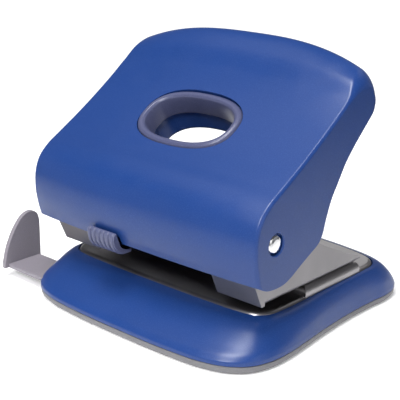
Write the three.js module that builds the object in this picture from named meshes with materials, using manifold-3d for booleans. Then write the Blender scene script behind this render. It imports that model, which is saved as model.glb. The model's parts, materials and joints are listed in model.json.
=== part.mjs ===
// Two-hole desk punch with a hooded handle, a sliding paper guide and a drop-down chip tray.
// Millimetres. +Z is up, -Y is the front where the paper goes in, and X = 0 is midway between
// the two punches. The origin is on the resting surface, under the middle of the base.
import * as THREE from 'three';
import { mergeVertices } from 'three/addons/utils/BufferGeometryUtils.js';
import Module from 'manifold-3d';

const wasm = await Module();
wasm.setup();

// ---------------------------------------------------------------- driving dimensions
const GAP = 0.3; // clearance between pieces that touch
const PUNCH_SPACING = 80; // hole to hole, the filing standard
const PUNCH_Y = -21;
const PUNCH_R = 3;
const PAPER_STOP_Y = PUNCH_Y + 12; // hole centre is 12 mm from the paper's edge

const DECK_Z = 18; // top of the bed that the paper lies on
const STAND_Z = 22.4; // top of the raised part of the bed, which starts at the paper stop
const STAND_REAR_Y = 29;
const FRAME_Z = 22.7; // underside of the punch frame, and the roof of the paper slot
const SHEET = 2; // thickness of the steel sheet

const BASE_RIM_Z = 4; // where the base cover meets the chip tray
const COVER_TOP_Z = 17.2;
const COVER_WALL = 2.2;
const LEDGE_TOP_Z = 13;
const LEDGE_BOTTOM_Z = 10.8;
const LEDGE_REACH = 10; // how far the cover's ledge goes in under the bed
const BED_HALF_WIDTH = 55.8;

const FRAME_HALF_WIDTH = 56.2;
const PIVOT = { y: -37.3, z: 49.7, r: 4 };

const HANDLE_HALF_WIDTH = 62.5;
const HANDLE_WALL = 2.8;
const FINGER_HOLE = { y: -17.4, z: 82.5, slope: THREE.MathUtils.degToRad(33), depth: 18 };
const OVAL_POWER = 2.45; // 2 would be an ellipse, more is squarer
const TUNNEL_AXES = { x: 23.1, y: 13.0 };
const LIP_AXES = { x: 25.2, y: 15.3 };

const GUIDE_FIN_X = -82.4;
const GUIDE_BAR_END_X = 26;
const GUIDE_BAR = { y0: -50.5, y1: -32.5, z0: 4.4, z1: 6.2 };

// ---------------------------------------------------------------- materials
const material = (color, roughness, metalness) =>
  new THREE.MeshStandardMaterial({ color, roughness, metalness });
const BLUE_PLASTIC = material(0x27479b, 0.42, 0);
const GREY_PLASTIC = material(0x7d7f8b, 0.55, 0);
const PALE_PLASTIC = material(0x9c9aa3, 0.5, 0);
const SLATE_PLASTIC = material(0x3f4668, 0.45, 0);
const NYLON = material(0xd8d6cc, 0.5, 0);
const SHEET_STEEL = material(0x9a9aa0, 0.35, 1);
const BRIGHT_STEEL = material(0xc9cbd0, 0.15, 1);
const SPRING_STEEL = material(0x74767c, 0.3, 1);

// ---------------------------------------------------------------- solid helpers
const v2 = (x, y) => new THREE.Vector2(x, y);
const v3 = (x, y, z) => new THREE.Vector3(x, y, z);

/** A closed geometry as a manifold solid, with its shared vertices merged. */
function toSolid(geometry) {
  const bare = geometry.clone();
  bare.deleteAttribute('normal');
  bare.deleteAttribute('uv');
  const merged = mergeVertices(bare, 1e-4);
  return new wasm.Manifold(new wasm.Mesh({
    numProp: 3,
    vertProperties: new Float32Array(merged.attributes.position.array),
    triVerts: new Uint32Array(merged.index.array),
  }));
}

/** A manifold solid back as a geometry. */
function toGeometry(solid) {
  const mesh = solid.getMesh();
  const geometry = new THREE.BufferGeometry();
  geometry.setAttribute('position', new THREE.BufferAttribute(new Float32Array(mesh.vertProperties), 3));
  geometry.setIndex(new THREE.BufferAttribute(new Uint32Array(mesh.triVerts), 1));
  geometry.computeVertexNormals();
  return geometry;
}

const join = (...solids) => solids.reduce((whole, piece) => whole.add(piece));
const cut = (whole, ...tools) => tools.reduce((rest, tool) => rest.subtract(tool), whole);

function box(x0, x1, y0, y1, z0, z1) {
  const geometry = new THREE.BoxGeometry(x1 - x0, y1 - y0, z1 - z0);
  return toSolid(geometry.translate((x0 + x1) / 2, (y0 + y1) / 2, (z0 + z1) / 2));
}

/** Upright cylinder about (x, y). */
function post(x, y, radius, z0, z1, sides = 16) {
  const geometry = new THREE.CylinderGeometry(radius, radius, z1 - z0, sides);
  geometry.rotateX(Math.PI / 2);
  return toSolid(geometry.translate(x, y, (z0 + z1) / 2));
}

/** Cylinder along X about (y, z). */
function rodX(y, z, radius, x0, x1, sides = 20) {
  const geometry = new THREE.CylinderGeometry(radius, radius, x1 - x0, sides);
  geometry.rotateZ(Math.PI / 2);
  return toSolid(geometry.translate((x0 + x1) / 2, y, z));
}

/** A side outline of (y, z) points, extruded from x0 to x1. */
function sidePlate(outline, x0, x1) {
  const geometry = new THREE.ExtrudeGeometry(new THREE.Shape(outline), {
    depth: x1 - x0,
    bevelEnabled: false,
  });
  // The extrusion's own x, y, z become the frame's y, z, x.
  const toFrame = new THREE.Matrix4().makeBasis(v3(0, 1, 0), v3(0, 0, 1), v3(1, 0, 0));
  return toSolid(geometry.applyMatrix4(toFrame).translate(x0, 0, 0));
}

/** Turned piece: profile of (radius, z) points, turned about the Z axis. */
function turned(profile, sides = 16) {
  const points = profile.map(([radius, z]) => v2(radius, z));
  return new THREE.LatheGeometry(points, sides).rotateX(Math.PI / 2);
}

/** Skin over equally long closed loops; the ends are capped, or joined to each other. */
function loft(loops, joinEnds = false) {
  const count = loops[0].length;
  const positions = loops.flat().flatMap((p) => [p.x, p.y, p.z]);
  const index = [];
  const spans = joinEnds ? loops.length : loops.length - 1;
  for (let i = 0; i < spans; i += 1) {
    const here = i * count;
    const next = ((i + 1) % loops.length) * count;
    for (let j = 0; j < count; j += 1) {
      const k = (j + 1) % count;
      index.push(here + j, here + k, next + k);
      index.push(here + j, next + k, next + j);
    }
  }
  if (!joinEnds) {
    index.push(...capTriangles(loops[0], 0, true));
    index.push(...capTriangles(loops.at(-1), (loops.length - 1) * count, false));
  }
  const geometry = new THREE.BufferGeometry();
  geometry.setAttribute('position', new THREE.Float32BufferAttribute(positions, 3));
  geometry.setIndex(index);
  return geometry;
}

/** Triangles over a flat loop that lies across X or across Z. */
function capTriangles(loop, offset, flip) {
  const acrossX = loop.every((p) => Math.abs(p.x - loop[0].x) < 1e-6);
  const flat = loop.map((p) => (acrossX ? v2(p.y, p.z) : v2(p.x, p.y)));
  const forwards = THREE.ShapeUtils.area(flat) > 0;
  const faces = THREE.ShapeUtils.triangulateShape(forwards ? flat : [...flat].reverse(), []);
  return faces.flatMap((face) => {
    const corners = face.map((i) => offset + (forwards ? i : loop.length - 1 - i));
    return flip === forwards ? corners.reverse() : corners;
  });
}

/** The loft's solid, turned inside out first if its faces point in. */
function loftSolid(loops, joinEnds = false) {
  const solid = toSolid(loft(loops, joinEnds));
  return solid.volume() > 0 ? solid : toSolid(loft(loops.map((loop) => [...loop].reverse()), joinEnds));
}

/** Points of a smooth curve through the given (x, y) pairs. */
function smooth(pairs, count, closed = false) {
  const curve = new THREE.CatmullRomCurve3(pairs.map(([x, y]) => v3(x, y, 0)), closed, 'centripetal');
  const points = curve.getSpacedPoints(count);
  if (closed) points.pop();
  return points.map((p) => v2(p.x, p.y));
}

/** A polyline moved sideways by a distance, to the left of its direction. */
function offset(points, distance, closed = false) {
  const last = points.length - 1;
  return points.map((p, i) => {
    const before = closed ? points.at(i - 1) : points[Math.max(i - 1, 0)];
    const after = closed ? points[(i + 1) % points.length] : points[Math.min(i + 1, last)];
    const along = v2(after.x - before.x, after.y - before.y).normalize();
    return v2(p.x - along.y * distance, p.y + along.x * distance);
  });
}

/** Right half of a plan outline, front to rear, closed by its mirror image. */
function mirroredOutline(half, count) {
  const left = half.slice(1, -1).reverse().map(([x, y]) => [-x, y]);
  return smooth([...half, ...left], count, true);
}

const atHeight = (outline, z) => outline.map((p) => v3(p.x, p.y, z));
const bothSides = ['left', 'right'];
const signOf = { left: -1, right: 1 };

const root = new THREE.Group();

function addPiece(name, shape, finish, parent = root) {
  const geometry = shape.isBufferGeometry ? shape : toGeometry(shape);
  const mesh = new THREE.Mesh(geometry, finish);
  mesh.name = name;
  parent.add(mesh);
  return mesh;
}

// ---------------------------------------------------------------- plan outlines
const PLAN_POINTS = 60;
const BASE_HALF = [
  [0, -60.6], [28, -60], [44, -58.2], [54, -54.6], [60.6, -48.6], [63.8, -40], [64.4, -30], [63.2, -16],
  [61.6, 0], [60.7, 18], [60.9, 33], [61.4, 44], [59, 53.4], [51, 59.4], [34, 61.4], [0, 61.8],
];
const BED_HALF = [
  [0, -37.4], [26, -37.1], [44, -36.2], [51, -34.6], [54.8, -30], [BED_HALF_WIDTH, -22], [BED_HALF_WIDTH, 4],
  [BED_HALF_WIDTH, 31], [55.1, 39.4], [51.8, 44.4], [45.8, 47], [32, 49.2], [16, 50.4], [0, 50.8],
];
const baseOutline = mirroredOutline(BASE_HALF, PLAN_POINTS);
const bedOutline = mirroredOutline(BED_HALF, PLAN_POINTS);

// ---------------------------------------------------------------- chip tray
const TRAY_FLOOR = 1.6;
const TRAY_TOP_Z = BASE_RIM_Z - GAP;
const CHIP_WELL = { x: 50, y0: -29.5, y1: 42, wall: 1.5, top: 8.2 };

function chipTray() {
  const outer = loftSolid([
    atHeight(offset(baseOutline, 2.6, true), 0),
    atHeight(offset(baseOutline, 1.6, true), 0.8),
    atHeight(offset(baseOutline, 0.2, true), 2.6),
    atHeight(offset(baseOutline, 0.2, true), TRAY_TOP_Z),
  ]);
  const pocketWall = offset(baseOutline, 4, true);
  const pocket = loftSolid([atHeight(pocketWall, TRAY_FLOOR), atHeight(pocketWall, TRAY_TOP_Z + 1)]);
  const { x, y0, y1, wall, top } = CHIP_WELL;
  const well = cut(
    box(-x, x, y0, y1, TRAY_FLOOR - 0.5, top),
    box(-x + wall, x - wall, y0 + wall, y1 - wall, TRAY_FLOOR - 1, top + 1),
  );
  return join(cut(outer, pocket), well);
}
addPiece('chip_tray', chipTray(), GREY_PLASTIC);

// ---------------------------------------------------------------- base cover
// Heights of the cover's outer skin, from the bed's edge (0) to the rim (1). The cover slopes
// gently where it is wide and is well rounded where it is narrow.
const COVER_WIDE = smooth([
  [0, COVER_TOP_Z], [0.14, 16.6], [0.34, 14.6], [0.54, 12.1], [0.74, 9.6], [0.9, 7.6], [1, 5.6],
], 9);
const COVER_NARROW = smooth([
  [0, COVER_TOP_Z], [0.16, 16.9], [0.34, 16.1], [0.54, 14.6], [0.74, 12.3], [0.9, 9.4], [1, 5.6],
], 9);
const COVER_REACH = { narrow: 8, wide: 19 };
const SLOT_CLEARANCE = 0.6; // round the paper guide's bar
const SLOT_END_X = -38;

/** One section of the cover, as (reach from the bed's edge, height) points. */
function coverSection(reach) {
  const width = THREE.MathUtils.smoothstep(reach, COVER_REACH.narrow, COVER_REACH.wide);
  const skin = COVER_NARROW.map((narrow, i) => {
    const p = narrow.clone().lerp(COVER_WIDE[i], width);
    return v2(GAP + p.x * (reach - GAP), p.y);
  });
  const wall = Math.min(COVER_WALL, reach / 3);
  const inside = skin.slice(3).map((p) => v2(Math.max(p.x - wall, 0.5), p.y - COVER_WALL));
  inside[inside.length - 1].y = BASE_RIM_Z;
  const ceiling = inside.filter((p) => p.y < LEDGE_BOTTOM_Z - 0.4);
  while (ceiling.length < inside.length) ceiling.unshift(v2(ceiling[0].x - 0.1, LEDGE_BOTTOM_Z - 0.3));
  return [
    ...skin,
    v2(reach, BASE_RIM_Z),
    ...ceiling.reverse(),
    v2(-LEDGE_REACH, LEDGE_BOTTOM_Z),
    v2(-LEDGE_REACH, LEDGE_TOP_Z),
    v2(GAP, LEDGE_TOP_Z),
  ];
}

function baseCover() {
  const loops = bedOutline.map((inner, i) => {
    const outward = v2(baseOutline[i].x - inner.x, baseOutline[i].y - inner.y);
    const reach = outward.length();
    outward.normalize();
    return coverSection(reach).map((p) => v3(inner.x + outward.x * p.x, inner.y + outward.y * p.x, p.y));
  });
  const guideSlot = box(
    -HANDLE_HALF_WIDTH - 8, SLOT_END_X,
    GUIDE_BAR.y0 - SLOT_CLEARANCE, GUIDE_BAR.y1 + SLOT_CLEARANCE,
    BASE_RIM_Z - 1, GUIDE_BAR.z1 + SLOT_CLEARANCE,
  );
  const screwHoles = SCREW_SPOTS.map(([x, y]) => post(x, y, 1.9, LEDGE_BOTTOM_Z - 2, LEDGE_TOP_Z + 1, 12));
  return cut(loftSolid(loops, true), guideSlot, ...screwHoles);
}
const SCREW_SPOTS = [[-47.5, -28], [47.5, -28], [-47.5, 40.5], [47.5, 40.5]];
addPiece('base_cover', baseCover(), BLUE_PLASTIC);

// ---------------------------------------------------------------- bed with the dies
const BED_EDGE_R = 2.2;
const STAND_EDGE_R = 3.8;
const SKIRT_BOTTOM_Z = LEDGE_TOP_Z + GAP;

/** Block on the bed's outline with a rolled top edge. */
function rolledBlock(top, edgeR) {
  const rounds = [0, 45, 90].map((degrees) => THREE.MathUtils.degToRad(degrees));
  const loops = [atHeight(bedOutline, SKIRT_BOTTOM_Z)];
  rounds.forEach((angle) => {
    const inset = edgeR * (1 - Math.cos(angle));
    loops.push(atHeight(offset(bedOutline, inset, true), top - edgeR * (1 - Math.sin(angle))));
  });
  return loftSolid(loops);
}

function diePlate() {
  const across = (y0, y1) => box(-70, 70, y0, y1, 0, 40);
  const bed = rolledBlock(DECK_Z, BED_EDGE_R);
  const stand = rolledBlock(STAND_Z, STAND_EDGE_R).intersect(across(PAPER_STOP_Y, STAND_REAR_Y));
  const inside = offset(bedOutline, SHEET, true);
  const hollow = (top) => loftSolid([atHeight(inside, SKIRT_BOTTOM_Z - 1), atHeight(inside, top - SHEET)]);
  const standHollow = hollow(STAND_Z).intersect(across(PAPER_STOP_Y + SHEET, STAND_REAR_Y - SHEET));
  const shell = cut(join(bed, stand), hollow(DECK_Z), standHollow);
  const bosses = SCREW_SPOTS.map(([x, y]) => post(x, y, 4, SKIRT_BOTTOM_Z, DECK_Z - 1));
  const threads = SCREW_SPOTS.map(([x, y]) => post(x, y, 1.8, SKIRT_BOTTOM_Z - 1, SKIRT_BOTTOM_Z + 2.4, 12));
  const dies = [-1, 1].map((side) => post(side * PUNCH_SPACING / 2, PUNCH_Y, PUNCH_R + 0.25, 10, 30));
  const rivetHoles = RIVET_SPOTS.map(([x, y]) => post(x, y, RIVET_R + GAP, 15, 30, 12));
  return cut(join(shell, ...bosses), ...threads, ...dies, ...rivetHoles);
}
const RIVET_R = 2.2;
const RIVET_SPOTS = [[-40, 2], [40, 2], [-40, 20], [40, 20]];
addPiece('die_plate', diePlate(), SHEET_STEEL);

// ---------------------------------------------------------------- screws under the base
function baseScrew(x, y) {
  const headBottom = LEDGE_BOTTOM_Z - GAP - 1.8;
  const tip = SKIRT_BOTTOM_Z + 2;
  const profile = [[0, headBottom], [2, headBottom], [3, headBottom + 0.8], [3, headBottom + 1.8],
    [1.5, headBottom + 1.8], [1.5, tip - 0.5], [1, tip], [0, tip]];
  const screw = toSolid(turned(profile, 12));
  const slots = [0, 90].map((turn) => box(-1.6, 1.6, -0.35, 0.35, headBottom - 1, headBottom + 0.8)
    .rotate([0, 0, turn]));
  return cut(screw, ...slots).translate([x, y, 0]);
}
SCREW_SPOTS.forEach(([x, y], i) => addPiece(`base_screw_${i + 1}`, baseScrew(x, y), BRIGHT_STEEL));

// ---------------------------------------------------------------- punch frame
const CHEEK_OUTLINE = [
  [-37.3, FRAME_Z], [27.5, FRAME_Z], [29.3, 23.6], [26.6, 25.4], [13.2, 31.3], [-1.1, 38.5],
  [-13, 46], [-23.5, 54.5],
];
const EYE_R = 9.2;
const FLANGE_TOP = { y: -43.6, z: 37 };
const FLANGE_NOTCH = { half: 34, rearY: -30 }; // the opening between the two front flanges
const FLOOR_NOTCH = { half: 30, rearY: -22 }; // the opening further back, between the punches

function punchFrame() {
  const eye = [55, 80, 105, 130, 155, 180].map((degrees) => {
    const angle = THREE.MathUtils.degToRad(degrees);
    return [PIVOT.y + EYE_R * Math.cos(angle), PIVOT.z + EYE_R * Math.sin(angle)];
  });
  const nose = [[-45.4, 41], [FLANGE_TOP.y, FLANGE_TOP.z]];
  const outline = [...CHEEK_OUTLINE, ...eye, ...nose].map(([y, z]) => v2(y, z));
  const cheeks = bothSides.map((side) => {
    const outer = signOf[side] * FRAME_HALF_WIDTH;
    const inner = outer - signOf[side] * SHEET;
    return sidePlate(outline, Math.min(outer, inner), Math.max(outer, inner));
  });
  const floor = box(-FRAME_HALF_WIDTH + 1, FRAME_HALF_WIDTH - 1, -38, 27, FRAME_Z, FRAME_Z + SHEET);
  const leaning = [
    v2(-37.3, FRAME_Z), v2(-35.4, FRAME_Z), v2(-35.4, FRAME_Z + SHEET),
    v2(FLANGE_TOP.y + SHEET, FLANGE_TOP.z), v2(FLANGE_TOP.y, FLANGE_TOP.z),
  ];
  const flanges = [
    sidePlate(leaning, -FRAME_HALF_WIDTH + 1, -FLANGE_NOTCH.half),
    sidePlate(leaning, FLANGE_NOTCH.half, FRAME_HALF_WIDTH - 1),
  ];
  const axleHole = rodX(PIVOT.y, PIVOT.z, PIVOT.r + GAP, -70, 70);
  const bushHoles = [-1, 1].map((side) => post(side * PUNCH_SPACING / 2, PUNCH_Y, 5, 20, 30));
  const rivetHoles = RIVET_SPOTS.map(([x, y]) => post(x, y, RIVET_R + GAP, 20, 30, 12));
  const notches = [FLANGE_NOTCH, FLOOR_NOTCH].map(({ half, rearY }) => box(-half, half, -39, rearY, 20, 30));
  return cut(join(...cheeks, floor, ...flanges), axleHole, ...notches, ...bushHoles, ...rivetHoles);
}
addPiece('punch_frame', punchFrame(), SHEET_STEEL);

// ---------------------------------------------------------------- rivets: frame to bed
function frameRivet(x, y) {
  const bottom = STAND_Z - SHEET - GAP;
  const top = FRAME_Z + SHEET + GAP;
  const profile = [[0, bottom - 1], [3.4, bottom - 1], [3.4, bottom], [RIVET_R, bottom], [RIVET_R, top],
    [3.8, top], [3.5, top + 0.9], [2.2, top + 1.5], [0, top + 1.7]];
  return turned(profile, 12).translate(x, y, 0);
}
RIVET_SPOTS.forEach(([x, y], i) => addPiece(`frame_rivet_${i + 1}`, frameRivet(x, y), BRIGHT_STEEL));

// ---------------------------------------------------------------- pivot axle and its washers
const AXLE_END_X = 62.1;
const axleProfile = [[0, -AXLE_END_X - 0.4], [2.4, -AXLE_END_X - 0.2], [PIVOT.r - 0.4, -AXLE_END_X + 0.4],
  [PIVOT.r, -AXLE_END_X + 1], [PIVOT.r, AXLE_END_X - 1], [PIVOT.r - 0.4, AXLE_END_X - 0.4],
  [2.4, AXLE_END_X + 0.2], [0, AXLE_END_X + 0.4]];
const axle = addPiece('pivot_axle', turned(axleProfile, 20).rotateY(Math.PI / 2), BRIGHT_STEEL);
axle.position.set(0, PIVOT.y, PIVOT.z);

/** Ring on the axle between two distances from the middle. */
function axleRing(side, outerR, near, far) {
  const [x0, x1] = [near, far].map((x) => x * signOf[side]).sort((a, b) => a - b);
  const ring = rodX(PIVOT.y, PIVOT.z, outerR, x0, x1);
  return cut(ring, rodX(PIVOT.y, PIVOT.z, PIVOT.r + GAP, x0 - 1, x1 + 1));
}
const HANDLE_INNER = HANDLE_HALF_WIDTH - HANDLE_WALL;
const ARM_OUTER = FRAME_HALF_WIDTH - SHEET - 2;
bothSides.forEach((side) => {
  const washer = axleRing(side, 7, FRAME_HALF_WIDTH + GAP, HANDLE_INNER - GAP);
  addPiece(`${side}_pivot_washer`, washer, NYLON);
  const spacer = axleRing(side, 6.2, ARM_OUTER + GAP, FRAME_HALF_WIDTH - SHEET - GAP);
  addPiece(`${side}_lever_spacer`, spacer, NYLON);
});

// ---------------------------------------------------------------- punches, bushes, springs
const PRESS_BAR_R = 4;
const PUNCH = { tip: 23.5, head: PIVOT.z - PRESS_BAR_R - GAP, headR: 5.4, headThick: 2.4 };
const WASHER = { r: 6.2, thick: 0.7 };
const BUSH = { flangeR: 7, flangeTop: FRAME_Z + SHEET + GAP + 1.5, collarR: 3.95, collarTop: 31 };
const SPRING = { wire: 0.45, coil: 4.75, turns: 5, sides: 6, stepsPerTurn: 11 };

function punchPin() {
  const shoulder = PUNCH.head - PUNCH.headThick;
  const profile = [[0, PUNCH.tip + 1.2], [PUNCH_R, PUNCH.tip], [PUNCH_R, shoulder], [PUNCH.headR, shoulder],
    [PUNCH.headR, PUNCH.head - 0.5], [PUNCH.headR - 0.7, PUNCH.head], [0, PUNCH.head]];
  return turned(profile);
}

function punchWasher() {
  const top = PUNCH.head - PUNCH.headThick - GAP;
  return turned([[PUNCH_R + GAP, top - WASHER.thick], [WASHER.r, top - WASHER.thick], [WASHER.r, top],
    [PUNCH_R + GAP, top], [PUNCH_R + GAP, top - WASHER.thick]]);
}

function guideBush() {
  const bore = PUNCH_R + 0.25;
  const flangeBottom = FRAME_Z + SHEET + GAP;
  return turned([[bore, FRAME_Z + 0.2], [5 - GAP, FRAME_Z + 0.2], [5 - GAP, flangeBottom],
    [BUSH.flangeR, flangeBottom], [BUSH.flangeR, BUSH.flangeTop], [BUSH.collarR, BUSH.flangeTop],
    [BUSH.collarR, BUSH.collarTop], [bore, BUSH.collarTop], [bore, FRAME_Z + 0.2]]);
}

/** Compression spring whose end turns lie flat. */
class Coil extends THREE.Curve {
  constructor(bottom, top) {
    super();
    this.bottom = bottom;
    this.rise = top - bottom;
  }

  getPoint(t, target = new THREE.Vector3()) {
    const angle = t * SPRING.turns * 2 * Math.PI;
    const flatEnds = THREE.MathUtils.smoothstep(t, 0, 1) * 0.35 + t * 0.65;
    return target.set(
      SPRING.coil * Math.cos(angle),
      SPRING.coil * Math.sin(angle),
      this.bottom + this.rise * flatEnds,
    );
  }
}

function returnSpring() {
  const bottom = BUSH.flangeTop + GAP + SPRING.wire;
  const top = PUNCH.head - PUNCH.headThick - WASHER.thick - 2 * GAP - SPRING.wire;
  const section = new THREE.Shape();
  section.absarc(0, 0, SPRING.wire, 0, 2 * Math.PI);
  return new THREE.ExtrudeGeometry(section, {
    curveSegments: SPRING.sides / 2,
    steps: SPRING.turns * SPRING.stepsPerTurn,
    extrudePath: new Coil(bottom, top),
    bevelEnabled: false,
  });
}

bothSides.forEach((side) => {
  const station = new THREE.Group();
  station.position.set(signOf[side] * PUNCH_SPACING / 2, PUNCH_Y, 0);
  root.add(station);
  addPiece(`${side}_punch`, punchPin(), BRIGHT_STEEL, station);
  addPiece(`${side}_punch_washer`, punchWasher(), SPRING_STEEL, station);
  addPiece(`${side}_guide_bush`, guideBush(), SHEET_STEEL, station);
  addPiece(`${side}_return_spring`, returnSpring(), SPRING_STEEL, station);
});

// ---------------------------------------------------------------- handle hood
// Each row is one point of the hood's outline, from the front lip over the top to the rear lip:
// (y, z) where the side walls begin, (y, z) of the side outline, then (y, z) in the middle.
const HOOD = [
  [-44.8, 33.9, -46.6, 34.9, -50.5, 36.0], [-46.6, 40.7, -47.9, 40.4, -52.4, 41.0],
  [-47.6, 47.1, -48.9, 47.0, -53.3, 48.2], [-47.3, 54.4, -48.5, 54.7, -52.6, 56.5],
  [-45.0, 60.1, -46.1, 60.8, -49.7, 63.4], [-40.5, 64.6, -41.3, 65.6, -44.0, 68.1],
  [-33.8, 68.7, -34.5, 69.8, -36.3, 71.8], [-24.2, 74.4, -24.9, 75.5, -26.4, 77.0],
  [-13.9, 80.9, -14.6, 82.0, -16.0, 83.8], [-2.4, 88.8, -3.1, 89.8, -5.3, 91.9],
  [6.5, 95.3, 5.7, 96.4, 3.5, 100.2], [13.6, 98.5, 12.0, 102.2, 11.5, 109.0],
  [18.1, 98.1, 18.7, 103.8, 20.3, 113.9], [21.6, 95.2, 23.4, 100.6, 26.8, 111.2],
  [23.3, 89.8, 25.6, 96.0, 28.8, 105.2],
];
const HOOD_EDGE = [ // the open rear and bottom edge of the side walls
  [17.3, 84.3], [11.0, 78.5], [4.9, 72.0], [0.3, 65.2], [-3.7, 59.1], [-6.6, 52.3], [-9.2, 45.2],
  [-11.6, 42.6], [-16.4, 40.1], [-22.6, 36.9], [-28.4, 33.8], [-32.6, 32.4], [-37.7, 32.2], [-42.2, 32.8],
];
const HOOD_POINTS = 26;
const CROWN_POWER = 2.8;

const HOOD_RIM = smooth(HOOD.map(([y, z]) => [y, z]), HOOD_POINTS);
const HOOD_SIDE = smooth(HOOD.map(([, , y, z]) => [y, z]), HOOD_POINTS);
const HOOD_MIDDLE = smooth(HOOD.map((row) => row.slice(4)), HOOD_POINTS);

/** Point i of the hood's outline at a distance x from the middle. */
function hoodPoint(i, x) {
  const middle = 1 - Math.min(Math.abs(x) / HANDLE_HALF_WIDTH, 1) ** CROWN_POWER;
  return HOOD_SIDE[i].clone().lerp(HOOD_MIDDLE[i], middle);
}

/** One half of the hood's outside, as outlines from the side wall to the middle. */
function hoodHalf() {
  const creaseR = HOOD_SIDE.map((p, i) => p.distanceTo(HOOD_RIM[i]));
  const outline = (widthOf, pointOf) => HOOD_SIDE.map((_, i) => {
    const x = widthOf(i);
    const p = pointOf(i, x);
    return v3(x, p.x, p.y);
  });
  const rounds = [0, 30, 60].map((degrees) => {
    const angle = THREE.MathUtils.degToRad(degrees);
    return outline(
      (i) => HANDLE_HALF_WIDTH - creaseR[i] * (1 - Math.cos(angle)),
      (i, x) => HOOD_RIM[i].clone().lerp(hoodPoint(i, x), Math.sin(angle)),
    );
  });
  const tops = [1, 0.82, 0.6, 0.33, 0].map((share) => outline(
    (i) => (HANDLE_HALF_WIDTH - creaseR[i]) * share,
    hoodPoint,
  ));
  return [...rounds, ...tops];
}

function hoodOuter() {
  const half = hoodHalf().map((skin) => {
    const edge = HOOD_EDGE.map(([y, z], i) => {
      const share = (i + 1) / (HOOD_EDGE.length + 1);
      return v3(THREE.MathUtils.lerp(skin.at(-1).x, skin[0].x, share), y, z);
    });
    return [...skin, ...edge];
  });
  const mirrored = half.slice(0, -1).map((loop) => loop.map((p) => v3(-p.x, p.y, p.z)));
  return loftSolid([...mirrored, ...half.reverse()]);
}

function hoodInner() {
  const stations = [1, 0.9, 0.72, 0.44, 0].map((share) => share * HANDLE_INNER);
  const all = [...stations.slice(0, -1).map((x) => -x), ...stations.reverse()];
  return loftSolid(all.map((x) => {
    const skin = offset(HOOD_SIDE.map((_, i) => hoodPoint(i, x)), -HANDLE_WALL);
    const below = [v2(skin.at(-1).x, 60), v2(0, 20), v2(skin[0].x, 20)];
    return [...skin, ...below].map((p) => v3(x, p.x, p.y));
  }));
}

/** Outline of the finger hole: an oval with squarer corners than an ellipse. */
function oval(axes, sides = 32) {
  const reach = (unit) => Math.sign(unit) * Math.abs(unit) ** (2 / OVAL_POWER);
  return Array.from({ length: sides }, (_, i) => {
    const angle = (i / sides) * 2 * Math.PI;
    return v2(axes.x * reach(Math.cos(angle)), axes.y * reach(Math.sin(angle)));
  });
}

/** Oval prism square to the sloping top, from one depth below the skin to another. */
function ovalPrism(axes, from, to, taper = 1) {
  const level = (share, depth) => oval({ x: axes.x * share, y: axes.y * share })
    .map((p) => v3(p.x, p.y, -depth).applyMatrix4(slopeFrame()));
  return loftSolid([level(1, from), level(taper, to)]);
}

/** Frame of the finger hole: its Z is square to the slope, its origin on the skin. */
function slopeFrame() {
  const turn = new THREE.Matrix4().makeRotationX(FINGER_HOLE.slope);
  return turn.setPosition(0, FINGER_HOLE.y, FINGER_HOLE.z);
}

const BOSS = { r: 3.6, hole: 1.8 };
const BOSS_SPOTS = [[-41, 4], [-41, -14], [41, 4], [41, -14]]; // across, and along the slope
const ARM_FLANGE = { depth: 7.4, thick: 2 };

/** Cylinder square to the slope at a spot on it, between two depths. */
function slopePost([across, along], radius, from, to, sides = 14) {
  const geometry = new THREE.CylinderGeometry(radius, radius, to - from, sides);
  geometry.rotateX(Math.PI / 2);
  geometry.translate(across, along, -(from + to) / 2);
  return toSolid(geometry.applyMatrix4(slopeFrame()));
}

const SLIDER = { x0: -21.4, x1: -5.6, neck0: -18.6, neck1: -12.8, travel: 6 };

const COLLAR_WALL = 2;
const SEAT_DEPTH = 1.1; // of the finger hole's lip seat
const BOSS_TOP = 2;
const SLOT_TOP_Z = 38.6;
const OUTSIDE = 8; // a cut's reach beyond the skin

function handleShell() {
  const skin = cut(hoodOuter(), hoodInner());
  const collar = { x: TUNNEL_AXES.x + COLLAR_WALL, y: TUNNEL_AXES.y + COLLAR_WALL };
  const tunnelWall = ovalPrism(collar, BOSS_TOP, FINGER_HOLE.depth, 0.95);
  const bosses = BOSS_SPOTS.map((spot) => slopePost(spot, BOSS.r, BOSS_TOP, ARM_FLANGE.depth - GAP));
  const bossHoles = BOSS_SPOTS.map(
    (spot) => slopePost(spot, BOSS.hole, BOSS_TOP + 0.6, ARM_FLANGE.depth + 1, 10),
  );
  const tunnel = ovalPrism(TUNNEL_AXES, -OUTSIDE, FINGER_HOLE.depth + 1, 0.93);
  const lipSeat = ovalPrism({ x: LIP_AXES.x + GAP, y: LIP_AXES.y + GAP }, -OUTSIDE, SEAT_DEPTH);
  const axleHoles = rodX(PIVOT.y, PIVOT.z, PIVOT.r + GAP, -70, 70);
  const sliderSlot = box(SLIDER.neck0 - GAP, SLIDER.neck1 + SLIDER.travel + GAP, -60, -44, 20, SLOT_TOP_Z);
  const solid = join(skin, tunnelWall, ...bosses);
  return cut(solid, tunnel, lipSeat, axleHoles, sliderSlot, ...bossHoles);
}
addPiece('handle_shell', handleShell(), BLUE_PLASTIC);

// ---------------------------------------------------------------- lip ring of the finger hole
const RING_WIDTH = 3.8;
/** Ring section, as (distance out from the sleeve's bore, height over the slope) points. */
const RING_SECTION = [
  [0.3, -8], [-0.5, -8], [0.1, -1.2], [0.5, 0.3], [1.3, 1.1], [2.4, 1.2], [3.3, 0.7], [RING_WIDTH, -0.1],
  [RING_WIDTH, -0.8], [0.9, -0.8],
];

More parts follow.
